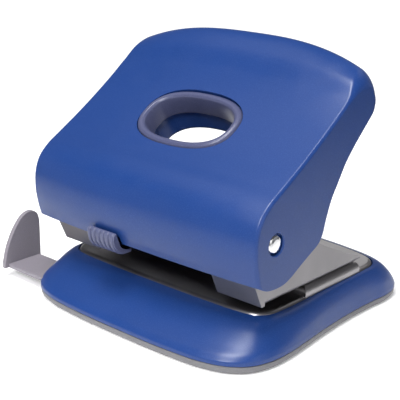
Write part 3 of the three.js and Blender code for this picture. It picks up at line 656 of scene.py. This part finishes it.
def rolled_block(bottom, top, edge):
    """Block on the bed's outline with a rolled top edge."""
    loops = [at_height(BED_OUTLINE, bottom)]
    for angle in np.linspace(0, math.pi / 2, 8):
        inset = edge * (1 - math.cos(angle))
        height = top - edge * (1 - math.sin(angle))
        loops.append(at_height(offset(BED_OUTLINE, inset, closed=True), height))
    return loft("tool", loops)


def die_plate():
    bed = rolled_block(SKIRT_Z, DECK_Z, BED_ROLL_R)
    bed.name = "bed_plate"
    stand = rolled_block(DECK_Z - BED_ROLL_R + 0.1, STAND_Z, STAND_ROLL_R)
    just_over = STAND_Z + 0.001
    across = [(PAPER_STOP_Y, 0), (STAND_REAR_Y, 0), (STAND_REAR_Y, just_over), (PAPER_STOP_Y, just_over)]
    rounded = filleted(across, STAND_EDGE_R, steps=8, sharp=(0, 1))
    combine(stand, "INTERSECT", side_plate("tool", rounded, -BEYOND, BEYOND))
    combine(bed, "UNION", stand)
    inside = offset(BED_OUTLINE, SHEET, closed=True)
    hollow = loft("tool", [at_height(inside, SKIRT_Z - 1), at_height(inside, DECK_Z - SHEET)])
    upper = loft("tool", [at_height(inside, SKIRT_Z - 1), at_height(inside, STAND_Z - SHEET)])
    under_stand = block("tool", (-BEYOND, BEYOND), (PAPER_STOP_Y + SHEET, STAND_REAR_Y - SHEET), (0, 40))
    combine(upper, "INTERSECT", under_stand)
    combine(bed, "DIFFERENCE", hollow, upper)
    bosses = [post(x, y, BOSS_R, SKIRT_Z, DECK_Z - 1) for x, y in SCREW_SPOTS]
    combine(bed, "UNION", *bosses)
    dies = [turned("tool", DIE_HOLE, 64, (side * PUNCH_X, PUNCH_Y)) for side in (-1, 1)]
    threads = [post(x, y, THREAD_ROOM_R, SKIRT_Z - 1, SKIRT_Z + 2.4) for x, y in SCREW_SPOTS]
    rivets = [post(x, y, RIVET_R + GAP, 15, 30) for x, y in RIVET_SPOTS]
    combine(bed, "DIFFERENCE", *dies, *threads, *rivets)
    finish_piece(whole_faces(bed), "die_plate", "sheet_steel", BED_STEEL, angle=35)


# ------ screws, rivets
CROSS_RECESS = (1.6, 0.35)  # half length and half width of a bar


def crossed(screw, centre, bottom, depth):
    """A cross recess in the underside of a screw's head."""
    x, y = centre
    bars = [
        block("tool", (x - a, x + a), (y - b, y + b), (bottom - 1, bottom + depth))
        for a, b in (CROSS_RECESS, CROSS_RECESS[::-1])
    ]
    return combine(screw, "DIFFERENCE", *bars)


def base_screw(i, x, y):
    head = LEDGE_BOTTOM_Z - GAP - 1.8
    tip = SKIRT_Z + 2
    profile = [(0, head), (2, head), (3, head + 0.8), (3, head + 1.8), (THREAD_R, head + 1.8),
               (THREAD_R, tip - 0.5), (1, tip), (0, tip)]
    screw = turned(f"base_cross_screw_{i}", profile, 40, (x, y), edge=0.15)
    crossed(screw, (x, y), head, 0.8)
    finish_piece(screw, f"base_screw_{i}", "bright_steel")


def frame_rivet(i, x, y):
    low = STAND_Z - SHEET - GAP
    top = FRAME_Z + SHEET + GAP
    profile = [(0, low - 1), (3.4, low - 1), (3.4, low), (RIVET_R, low), (RIVET_R, top), (3.8, top),
               (3.6, top + 0.7), (2.9, top + 1.2), (1.6, top + 1.6), (0, top + 1.7)]
    rivet = turned(f"domed_rivet_{i}", profile, 40, (x, y), edge=0.2)
    finish_piece(rivet, f"frame_rivet_{i}", "bright_steel")


# ------ punch frame
FRAME_Z = 22.7
FRAME_HALF = 56.2
FLANGE_NOTCH = (34.0, -30.0)  # half width and rear of the opening between the front flanges
FLOOR_NOTCH = (30.0, -22.0)  # the same between the punches
EYE_R = 9.2
CHEEK = [
    (-37.3, FRAME_Z), (27.5, FRAME_Z), (29.3, 23.6), (26.6, 25.4), (13.2, 31.3), (-1.1, 38.5), (-13, 46),
    (-23.5, 54.5),
]
FLANGE_TOP = (-43.6, 37.0)
FLANGE_FOOT_Y = -35.4  # where the front flanges meet the floor, inside
BEND_R = 2.4
TOE_R = 0.8


def arc(centre, radius, first, last, count):
    """(y, z) points round a centre, angles in degrees."""
    angles = np.radians(np.linspace(first, last, count))
    return np.column_stack([centre[0] + radius * np.cos(angles), centre[1] + radius * np.sin(angles)])


def punch_frame():
    slope = smooth(CHEEK[3:], 24)
    toe = filleted(CHEEK[1:4], TOE_R, closed=False)[1:-1]
    eye = arc((PIVOT_Y, PIVOT_Z), EYE_R, 55, 180, 32)
    outline = np.vstack([CHEEK[:1], toe, slope, eye, [(-45.4, 41), FLANGE_TOP]])
    above = 70  # higher than the cheeks
    across = [(-FRAME_HALF, above), (-FRAME_HALF, FRAME_Z), (FRAME_HALF, FRAME_Z), (FRAME_HALF, above)]
    channel = filleted(across, BEND_R, steps=6, sharp=(0, 3))
    inner = offset(channel, SHEET)[::-1]
    section = np.vstack([channel, inner])
    body = loft("punch_channel", [
        np.column_stack([section[:, 0], np.full(len(section), y), section[:, 1]]) for y in (-50, 35)])
    combine(body, "INTERSECT", side_plate("tool", outline, -BEYOND, BEYOND))
    leaning = [
        CHEEK[0], (FLANGE_FOOT_Y, FRAME_Z), (FLANGE_FOOT_Y, FRAME_Z + SHEET),
        (FLANGE_TOP[0] + SHEET, FLANGE_TOP[1]), FLANGE_TOP,
    ]
    flanges = [
        side_plate("tool", leaning, -FRAME_HALF, -FLANGE_NOTCH[0]),
        side_plate("tool", leaning, FLANGE_NOTCH[0], FRAME_HALF),
    ]
    combine(body, "UNION", *flanges)
    holes = [cross_drill(AXLE_R + GAP, (PIVOT_Y, PIVOT_Z))]
    holes += [post(side * PUNCH_X, PUNCH_Y, BUSH_SEAT_R, 20, 30) for side in (-1, 1)]
    holes += [post(x, y, RIVET_R + GAP, 20, 30) for x, y in RIVET_SPOTS]
    notches = (FLANGE_NOTCH, FLOOR_NOTCH)
    holes += [block("tool", (-half, half), (-52, rear), (20, 60)) for half, rear in notches]
    combine(body, "DIFFERENCE", *holes)
    soften(whole_faces(body), 0.45, angle=40, segments=3)
    finish_piece(body, "punch_frame", "sheet_steel")


# ------ axle, washers and spacers
def pivot_axle():
    end = limits("pivot_axle")[1][0]
    profile = [(0, -end), (2.0, -end + 0.12), (3.1, -end + 0.45), (AXLE_R, -end + 1.3), (AXLE_R, end - 1.3),
               (3.1, end - 0.45), (2.0, end - 0.12), (0, end)]
    axle = turned("hinge_axle", profile, 64, (PIVOT_Y, PIVOT_Z), edge=0.6, axis="X")
    finish_piece(axle, "pivot_axle", "bright_steel", angle=50)


def ring(node, name):
    """A nylon ring on the axle, the size of its CAD node."""
    low, high = limits(node)
    outer = (high[2] - low[2]) / 2
    bore = AXLE_R + GAP
    profile = [(bore, low[0]), (outer, low[0]), (outer, high[0]), (bore, high[0])]
    made = turned(name, profile, 64, (PIVOT_Y, PIVOT_Z), edge=0.35, axis="X")
    finish_piece(made, node, "nylon")


# ------ punches
PUNCH_HEAD = {"thick": 2.4, "bevel": (0.7, 0.5)}
BUSH_FLANGE = {"radius": 7.0, "thick": 1.5}
BUSH_NECK_R = 3.95
SPRING = {"wire": 0.45, "coil": 4.75, "turns": 5, "end_pitch": 0.65}  # radii; the end coils lie closer


def punch_station(side, x):
    low, high = limits(f"{side}_punch")
    tip, head, head_r = low[2], high[2], (high[0] - low[0]) / 2
    shoulder = head - PUNCH_HEAD["thick"]
    across, down = PUNCH_HEAD["bevel"]
    pin = [(0, tip + 1.2), (PUNCH_R, tip), (PUNCH_R, shoulder), (head_r, shoulder), (head_r, head - down),
           (head_r - across, head), (0, head)]
    made = turned(f"{side}_punch_pin", pin, 56, (x, PUNCH_Y), edge=0.15)
    finish_piece(made, f"{side}_punch", "bright_steel")

    low, high = limits(f"{side}_punch_washer")
    bore, outer = PUNCH_R + GAP, (high[0] - low[0]) / 2
    washer = [(bore, low[2]), (outer, low[2]), (outer, high[2]), (bore, high[2])]
    made = turned(f"{side}_spring_washer", washer, 56, (x, PUNCH_Y), edge=0.15)
    finish_piece(made, f"{side}_punch_washer", "spring_steel")

    low, high = limits(f"{side}_guide_bush")
    bore, outer, rim = PUNCH_R + SLIDE_GAP, BUSH_SEAT_R - GAP, BUSH_FLANGE["radius"]
    under = FRAME_Z + SHEET + GAP
    over = under + BUSH_FLANGE["thick"]
    bush = [(bore, low[2]), (outer, low[2]), (outer, under), (rim, under), (rim, over),
            (BUSH_NECK_R, over), (BUSH_NECK_R, high[2]), (bore, high[2])]
    made = turned(f"{side}_flanged_bush", bush, 56, (x, PUNCH_Y), edge=0.15)
    finish_piece(made, f"{side}_guide_bush", "sheet_steel")

    return_spring(side, x)


def return_spring(side, x):
    low, high = limits(f"{side}_return_spring")
    bottom, top = low[2] + SPRING["wire"], high[2] - SPRING["wire"]
    sections, around = SPRING["turns"] * 48 + 1, 14
    loops = []
    for t in np.linspace(0, 1, sections):
        angle = t * SPRING["turns"] * 2 * math.pi
        rise = ease(t) * (1 - SPRING["end_pitch"]) + t * SPRING["end_pitch"]
        out = np.array([math.cos(angle), math.sin(angle), 0])
        centre = out * SPRING["coil"] + np.array([x, PUNCH_Y, bottom + (top - bottom) * rise])
        loops.append([
            centre + SPRING["wire"] * (out * math.cos(a) + np.array([0, 0, math.sin(a)]))
            for a in np.linspace(0, 2 * math.pi, around, endpoint=False)])
    spring = loft(f"{side}_coil_spring", loops)
    finish_piece(spring, f"{side}_return_spring", "spring_steel", angle=60)
    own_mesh(spring)


# ------ handle hood
# Each row is a point of the hood's outline, from the front lip over the top to the rear lip:
# (y, z) where the side walls begin, (y, z) of the side outline, and (y, z) in the middle.
HOOD = [
    (-44.8, 33.9, -46.6, 34.9, -50.5, 36.0), (-46.6, 40.7, -47.9, 40.4, -52.4, 41.0),
    (-47.6, 47.1, -48.9, 47.0, -53.3, 48.2), (-47.3, 54.4, -48.5, 54.7, -52.6, 56.5),
    (-45.0, 60.1, -46.1, 60.8, -49.7, 63.4), (-40.5, 64.6, -41.3, 65.6, -44.0, 68.1),
    (-33.8, 68.7, -34.5, 69.8, -36.3, 71.8), (-24.2, 74.4, -24.9, 75.5, -26.4, 77.0),
    (-13.9, 80.9, -14.6, 82.0, -16.0, 83.8), (-2.4, 88.8, -3.1, 89.8, -5.3, 91.9),
    (6.5, 95.3, 5.7, 96.4, 3.5, 100.2), (13.6, 98.5, 12.0, 102.2, 11.5, 109.0),
    (18.1, 98.1, 18.7, 103.8, 20.3, 113.9), (21.6, 95.2, 23.4, 100.6, 26.8, 111.2),
    (23.1, 91.6, 25.2, 97.6, 28.6, 106.6),
]
# The open rear and bottom edge of the side walls.
HOOD_EDGE = [
    (22.4, 89.3), (20.9, 87.6), (17.3, 84.3), (11.0, 78.5), (4.9, 72.0), (0.3, 65.2), (-3.7, 59.1),
    (-6.6, 52.3), (-9.2, 45.2), (-11.6, 42.6), (-16.4, 40.1), (-22.6, 36.9), (-28.4, 33.8), (-32.6, 32.4),
    (-37.7, 32.2), (-42.2, 32.8),
]
HOOD_HALF = 62.5
HOOD_WALL = 2.8
HOOD_POINTS = 150
CROWN_POWER = 2.8
SLOPE = math.radians(33)
FINGER_HOLE = (-17.4, 82.5)
TUNNEL_DEPTH = 18.0
TUNNEL = (23.1, 13.0)
LIP = (25.2, 15.3)
OVAL_POWER = 2.45
BOSS_SPOTS = [(-41, 4), (-41, -14), (41, 4), (41, -14)]  # across, and along the slope
ARM_FLANGE = {"depth": 7.4, "thick": 2.0}
HOOD_BOSS_R = 3.6
AXLE_FLARE = {"x": (HOOD_HALF - 0.4, HOOD_HALF + 0.05, BEYOND), "wider": (0, 0.45, 7.7)}
SLIDER = {"x0": -21.4, "x1": -5.6, "neck": (-18.6, -12.8), "travel": 6.0}

HOOD_LINES = smooth(HOOD, HOOD_POINTS)
HOOD_RIM, HOOD_SIDE, HOOD_MIDDLE = HOOD_LINES[:, :2], HOOD_LINES[:, 2:4], HOOD_LINES[:, 4:]


def hood_skin(x):
    """The hood's outline where each of its points lies at its own distance x from the middle."""
    middle = 1 - np.minimum(np.abs(x) / HOOD_HALF, 1) ** CROWN_POWER
    return HOOD_SIDE + (HOOD_MIDDLE - HOOD_SIDE) * middle[:, None]


def hood_columns(depth=0.0):
    """The hood's skin, or a surface at a depth under it, as columns of points.

    They run from the open edge of one side wall, over the top, to the open edge of the other.
    """
    half_width = HOOD_HALF - depth
    crease = np.linalg.norm(HOOD_SIDE - HOOD_RIM, axis=1)
    inwards = (HOOD_RIM - HOOD_SIDE) / crease[:, None]
    low = np.maximum(crease, depth + 0.4)
    radius = low - depth
    rim = HOOD_SIDE + inwards * low[:, None]
    edge = spaced(smooth([rim[0], *HOOD_EDGE[::-1], rim[-1]], 120), HOOD_POINTS)
    flat = np.full(len(edge), half_width)
    half = [(flat, edge + (rim - edge) * share) for share in np.linspace(0, 1, 13)[:-1]]
    for angle in np.linspace(0, math.pi / 2, 15):
        x = half_width - radius * (1 - math.cos(angle))
        skin = offset(hood_skin(x), -depth)
        half.append((x, rim + (skin - rim) * math.sin(angle)))
    for share in np.linspace(1, 0, 30)[1:]:
        x = (half_width - radius) * share
        half.append((x, offset(hood_skin(x), -depth)))
    columns = [(-x, line) for x, line in half] + half[-2::-1]
    return [np.column_stack([x, line]) for x, line in columns]


def on_slope(made):
    """Moves a piece from the finger hole's own frame to the punch's."""
    place = Matrix.Translation(Vector((0, FINGER_HOLE[0], FINGER_HOLE[1])) * MM)
    made.data.transform(place @ Matrix.Rotation(SLOPE, 4, "X"))
    return made


def oval(axes):
    """Outline of the finger hole: an oval with squarer corners than an ellipse."""
    angles = np.linspace(0, 2 * math.pi, 160, endpoint=False)
    unit = np.column_stack([np.cos(angles), np.sin(angles)])
    return np.sign(unit) * np.abs(unit) ** (2 / OVAL_POWER) * np.array(axes)


def oval_prism(axes, levels):
    """Oval prism square to the slope; levels are (height over the slope, share of the axes)."""
    return on_slope(loft("tool", [at_height(oval(axes) * share, z) for z, share in levels]))


def slope_post(spot, radius, z0, z1):
    return on_slope(turned("tool", [(0, z0), (radius, z0), (radius, z1), (0, z1)], 40, spot))


def handle_shell():
    hood = shell("hood_shell", hood_columns(), hood_columns(HOOD_WALL))
    soften(hood, 0.5, angle=60, segments=3)
    collar = oval_prism((TUNNEL[0] + 2, TUNNEL[1] + 2), [(-TUNNEL_DEPTH, 0.95), (-2, 1)])
    bosses = [slope_post(spot, HOOD_BOSS_R, -ARM_FLANGE["depth"] + GAP, -2) for spot in BOSS_SPOTS]
    combine(hood, "UNION", collar, *bosses)
    lowest = -TUNNEL_DEPTH
    tunnel = oval_prism(TUNNEL, [
        (lowest - 1, 0.985), (lowest, 0.955), (lowest + 0.6, 0.935), (lowest + 1.5, 0.932), (8, 1)])
    seat = oval_prism((LIP[0] + GAP, LIP[1] + GAP), [(-1.1, 1), (8, 1)])
    screws = [slope_post(spot, THREAD_ROOM_R, -ARM_FLANGE["depth"] - 1, -2.6) for spot in BOSS_SPOTS]
    right = [(AXLE_R + GAP + wider, x) for x, wider in zip(AXLE_FLARE["x"], AXLE_FLARE["wider"])]
    left = [(radius, -x) for radius, x in reversed(right)]
    profile = [(0, -BEYOND), *left, *right, (0, BEYOND)]
    axle = turned("tool", profile, 72, (PIVOT_Y, PIVOT_Z), axis="X")
    slot_x = (SLIDER["neck"][0] - GAP, SLIDER["neck"][1] + SLIDER["travel"] + GAP)
    slot = block("tool", slot_x, (-60, -44), (20, 38.6))
    combine(hood, "DIFFERENCE", tunnel, seat, axle, slot, *screws)
    finish_piece(hood, "handle_shell", "blue_plastic", angle=38)


# ------ ring round the finger hole
RING_WIDTH = 3.8
RING_SECTION = [  # out from the sleeve's bore, height over the slope
    (0.3, -8), (-0.5, -8), (-0.3, -4), (0.1, -1.2), (0.5, 0.3), (1.3, 1.1), (2.4, 1.2), (3.3, 0.7),
    (RING_WIDTH, -0.1), (RING_WIDTH, -0.8), (0.9, -0.8),
]


def finger_ring():
    section = filleted(RING_SECTION, 0.9, steps=5)
    bore = (LIP[0] - RING_WIDTH, LIP[1] - RING_WIDTH)
    loops = [at_height(oval((bore[0] + out, bore[1] + out)), up) for out, up in section]
    made = on_slope(loft("finger_ring", loops, join_ends=True))
    finish_piece(made, "grommet", "slate_plastic", RING_SLATE, angle=50)


# ------ lever arms and press bar
ARM_OUTER = FRAME_HALF - SHEET - 2
ARM_INNER = 34.0  # inner end of the flange under the hood
ARM_EYE_R = 7.6
ARM_OUTLINE = [(-29.8, 46.2), (-21, 44.4), (-15.6, 46.2), (-13.6, 50.4), (-10, 62)]
ARM_REACH = (9, -19)  # along the slope


def under_skin(along, depth):
    """Under the skin at a distance along the slope, as a (y, z) point."""
    y, z = FINGER_HOLE
    run, rise = math.cos(SLOPE), math.sin(SLOPE)
    return (y + along * run + depth * rise, z + along * rise - depth * run)


def lever_arm(side, sign):
    top, low = ARM_FLANGE["depth"], ARM_FLANGE["depth"] + ARM_FLANGE["thick"]
    far, near = ARM_REACH
    eye = arc((PIVOT_Y, PIVOT_Z), ARM_EYE_R, 130, 250, 24)
    outline = np.vstack([
        filleted([*ARM_OUTLINE, under_skin(far, top)], 5, closed=False),
        [under_skin(near, top)], eye,
    ])
    x0, x1 = sorted((sign * ARM_OUTER, sign * (ARM_OUTER - SHEET)))
    arm = side_plate(f"{side}_lever", outline, x0, x1)
    flange = [under_skin(near, low), under_skin(far, low), under_skin(far, top), under_skin(near, top)]
    f0, f1 = sorted((sign * (ARM_OUTER - 0.02), sign * ARM_INNER))
    combine(arm, "UNION", side_plate("tool", flange, f0, f1))
    drills = ((AXLE_R, PIVOT_Y), (PRESS_BAR_END_R, PUNCH_Y))
    holes = [cross_drill(radius + GAP, (y, PIVOT_Z)) for radius, y in drills]
    holes += [slope_post(spot, THREAD_R + 0.6, -low - 1, -top + 1) for spot in BOSS_SPOTS]
    combine(arm, "DIFFERENCE", *holes)
    soften(arm, 0.2)
    finish_piece(arm, f"{side}_lever_arm", "sheet_steel")


def press_bar():
    end = limits("press_bar")[1][0]
    shoulder = ARM_OUTER - SHEET - GAP
    thin, thick = PRESS_BAR_END_R, PRESS_BAR_R
    profile = [(0, -end), (thin, -end), (thin, -shoulder), (thick, -shoulder), (thick, shoulder),
               (thin, shoulder), (thin, end), (0, end)]
    made = turned("punch_press_bar", profile, 56, (PUNCH_Y, PIVOT_Z), edge=0.3, axis="X")
    finish_piece(made, "press_bar", "bright_steel")


def handle_screw(i, spot):
    under = -(ARM_FLANGE["depth"] + ARM_FLANGE["thick"] + GAP)
    profile = [(0, under - 2), (2.2, under - 2), (3.3, under - 1.1), (3.3, under), (THREAD_R, under),
               (THREAD_R, -3.6), (0, -3.1)]
    screw = turned(f"lever_screw_{i}", profile, 40, spot, edge=0.15)
    crossed(screw, spot, under - 2, 0.9)
    finish_piece(on_slope(screw), f"handle_screw_{i}", "bright_steel")


# ------ lock slider
SLIDER_HOOK = [
    (-53.6, 41.2), (-54.9, 40.6), (-55.1, 38), (-54.2, 35.2), (-52.3, 33), (-49.4, 31.6), (-45.4, 31.3),
    (-45.4, 33.0), (-49.0, 33.6), (-51.0, 35.0), (-52.0, 37.6), (-52.7, 39.6),
]
HOOK_FACE = (7, 36)  # points of SLIDER_HOOK on the outer face, steps of the curve through them
HOOK_BACK = 24  # steps of the curve through the rest
SLIDER_NECK = ((-52.4, -46), (35.6, 37.8))  # y and z
SLIDER_FOOT = ((-46.6, -44.6), (32, 37.8))
SLIDER_RIBS = 6
RIB_PROUD = 0.7
RIB_HALF_WIDTH = 0.32  # of the ribs' pitch


def slider_rib(line, middle, half_width):
    """Half-round rib along the hook's face, lower towards its ends."""
    outward = line - offset(line, 1.0)
    sections = []
    for point, normal, share in zip(line, outward, np.linspace(0.03, 0.97, len(line))):
        proud = RIB_PROUD * math.sin(math.pi * share) ** 0.3
        arch = [(middle + half_width * math.cos(a), proud * math.sin(a)) for a in np.linspace(0, math.pi, 11)]
        arch += [(middle - half_width, -0.5), (middle + half_width, -0.5)]
        sections.append([(x, *(point + normal * height)) for x, height in arch])
    return loft("tool", np.array(sections))


def lock_slider():
    given, steps = HOOK_FACE
    face = smooth(SLIDER_HOOK[:given], steps)
    back = smooth(SLIDER_HOOK[given:], HOOK_BACK)
    outline = filleted(np.vstack([face, back]), 0.4, sharp=range(1, steps - 1))
    x0, x1 = SLIDER["x0"], SLIDER["x1"]
    body = side_plate("lock_slide", outline, x0, x1, edge=0.3)
    neck = block("tool", SLIDER["neck"], *SLIDER_NECK, 0.3)
    foot = block("tool", SLIDER["neck"], *SLIDER_FOOT, 0.3)
    pitch = (x1 - x0) / SLIDER_RIBS
    middles = [x0 + pitch * (i + 0.5) for i in range(SLIDER_RIBS)]
    ribs = [slider_rib(face[2:steps - 2], middle, pitch * RIB_HALF_WIDTH) for middle in middles]
    combine(body, "UNION", neck, foot, *ribs)
    finish_piece(body, "lock_slider", "slate_plastic", angle=45)


# ------ paper guide
FIN = [
    (-31.4, 22.6), (-32.6, 26.6), (-36.2, 28.6), (-40.8, 27.4), (-46, 22), (-50.3, 14.2), (-52.4, 7.4),
]
FIN_FOOT = (-31.6, -52.4)  # rear and front
FIN_THICK = 2.2


def paper_guide():
    low = limits("paper_guide")[0]
    left, right = low[0], low[0] + FIN_THICK
    z0, z1 = GUIDE_BAR["z"]
    rear, front = FIN_FOOT
    outline = np.vstack([[(rear, z0)], smooth(FIN, 60), [(front, z0)]])
    fin = side_plate("guide_fin_and_bar", outline, left, right, edge=0.45)
    bar = block("tool", (right - 1, GUIDE_BAR["end_x"]), GUIDE_BAR["y"], (z0, z1), 0.3)
    combine(fin, "UNION", bar)
    finish_piece(fin, "paper_guide", "pale_grey_plastic", angle=40)


# ------ the whole punch
SIDES = {"left": -1, "right": 1}
chip_tray()
base_cover()
die_plate()
for number, (x, y) in enumerate(SCREW_SPOTS, 1):
    base_screw(number, x, y)
punch_frame()
for number, (x, y) in enumerate(RIVET_SPOTS, 1):
    frame_rivet(number, x, y)
pivot_axle()
for side, sign in SIDES.items():
    ring(f"{side}_pivot_washer", f"{side}_hinge_washer")
    ring(f"{side}_lever_spacer", f"{side}_arm_spacer")
    punch_station(side, sign * PUNCH_X)
    lever_arm(side, sign)
handle_shell()
finger_ring()
press_bar()
for number, spot in enumerate(BOSS_SPOTS, 1):
    handle_screw(number, spot)
lock_slider()
paper_guide()


# ------ floor and studio light
FLOOR_REACH = 4000.0
FLOOR_NEAR = ((0.86, 0.86, 0.87), (0.88, 0.88, 0.88))
FLOOR_FAR = (0.20, 0.20, 0.21)  # dark, so that it does not light the undersides
FLOOR_FADE = (0.14, 0.42)  # metres from the middle
FLOOR_GLOW = {"unseen": (0.18, 0.0, 0.1, 0.4), "seen": (0.28, 1.0, 0.08, 0.4)}  # near, far, from, to
SKY = {"colour": (0.93, 0.95, 1.0, 1.0), "up": (0.10, 0.45), "strength": (0.34, 0.10)}
BACKDROP_STRENGTH = 1.05
SOFTBOXES = [  # name, place, aim, size in millimetres, watts
    ("overhead", (100, -420, 1600), (0, 0, 40), 640, 22),
    ("front", (220, -850, 800), (0, 0, 50), 400, 9.6),
    ("left_top", (-640, -20, 1180), (0, 0, 60), 520, 0.65),
    ("rear", (130, 880, 880), (0, 0, 50), 620, 0.8),
    ("rear_card", (-46, 150, 70), (50, 45, 18), 90, 0.02),
    ("right_fill", (800, -150, 260), (0, 0, 50), 500, 1.0),
]


def paper_floor():
    """Pale paper that glows towards the camera, so that it fades to white."""
    paper = Shader("pale_floor", Roughness=0.9, Specular_IOR_Level=0.1)
    reach = paper.node("ShaderNodeVectorMath", operation="LENGTH")
    paper.links.new(paper.place, reach.inputs[0])
    distance = reach.outputs["Value"]
    pale = paper.mix(paper.remap(paper.noise(3), 0, 1), *FLOOR_NEAR)
    paper.colour(paper.mix(paper.remap(distance, 0, 1, *FLOOR_FADE), pale, FLOOR_FAR))
    glow = paper.node("ShaderNodeMix", data_type="FLOAT")
    paper.links.new(paper.node("ShaderNodeLightPath").outputs["Is Camera Ray"], glow.inputs[0])
    paper.links.new(paper.remap(distance, *FLOOR_GLOW["unseen"]), glow.inputs[2])
    paper.links.new(paper.remap(distance, *FLOOR_GLOW["seen"]), glow.inputs[3])
    paper.links.new(glow.outputs[0], paper.surface.inputs["Emission Strength"])
    paper.surface.inputs["Emission Color"].default_value = (1, 1, 1, 1)
    corners = [(x * FLOOR_REACH, y * FLOOR_REACH, 0) for x, y in ((-1, -1), (1, -1), (1, 1), (-1, 1))]
    floor = mesh_object("floor", corners, [(0, 1, 2, 3)])
    floor.data.materials.append(paper.material)


def sky():
    """Soft room light, brighter near the horizon, and a white backdrop."""
    world = bpy.data.worlds.new("studio")
    bpy.context.scene.world = world
    world.use_nodes = True
    nodes, links = world.node_tree.nodes, world.node_tree.links
    room = nodes["Background"]
    room.inputs["Color"].default_value = SKY["colour"]
    direction = nodes.new("ShaderNodeTexCoord").outputs["Generated"]
    split = nodes.new("ShaderNodeSeparateXYZ")
    links.new(direction, split.inputs[0])
    walls = nodes.new("ShaderNodeMapRange")
    walls.interpolation_type = "SMOOTHSTEP"
    for socket, value in zip(RANGE_SOCKETS, (*SKY["up"], *SKY["strength"])):
        walls.inputs[socket].default_value = value
    links.new(split.outputs["Z"], walls.inputs["Value"])
    links.new(walls.outputs["Result"], room.inputs["Strength"])
    backdrop = nodes.new("ShaderNodeBackground")
    backdrop.inputs["Color"].default_value = (1.0, 1.0, 1.0, 1.0)
    backdrop.inputs["Strength"].default_value = BACKDROP_STRENGTH
    rays = nodes.new("ShaderNodeLightPath")
    seen = nodes.new("ShaderNodeMixShader")
    links.new(rays.outputs["Is Camera Ray"], seen.inputs[0])
    links.new(room.outputs[0], seen.inputs[1])
    links.new(backdrop.outputs[0], seen.inputs[2])
    links.new(seen.outputs[0], nodes["World Output"].inputs["Surface"])


def softbox(name, place, aim, size, power):
    """A square area light of a size in millimetres, aimed at a point."""
    data = bpy.data.lights.new(name, "AREA")
    data.shape = "SQUARE"
    data.size = size * MM
    data.energy = power
    light = bpy.data.objects.new(name, data)
    light.location = Vector(place) * MM
    light.rotation_mode = "QUATERNION"
    light.rotation_quaternion = (Vector(aim) - Vector(place)).to_track_quat("-Z", "Y")
    bpy.context.scene.collection.objects.link(light)


paper_floor()
sky()
for name, place, aim, size, power in SOFTBOXES:
    softbox(name, place, aim, size, power)
bpy.context.scene.view_settings.view_transform = "Standard"
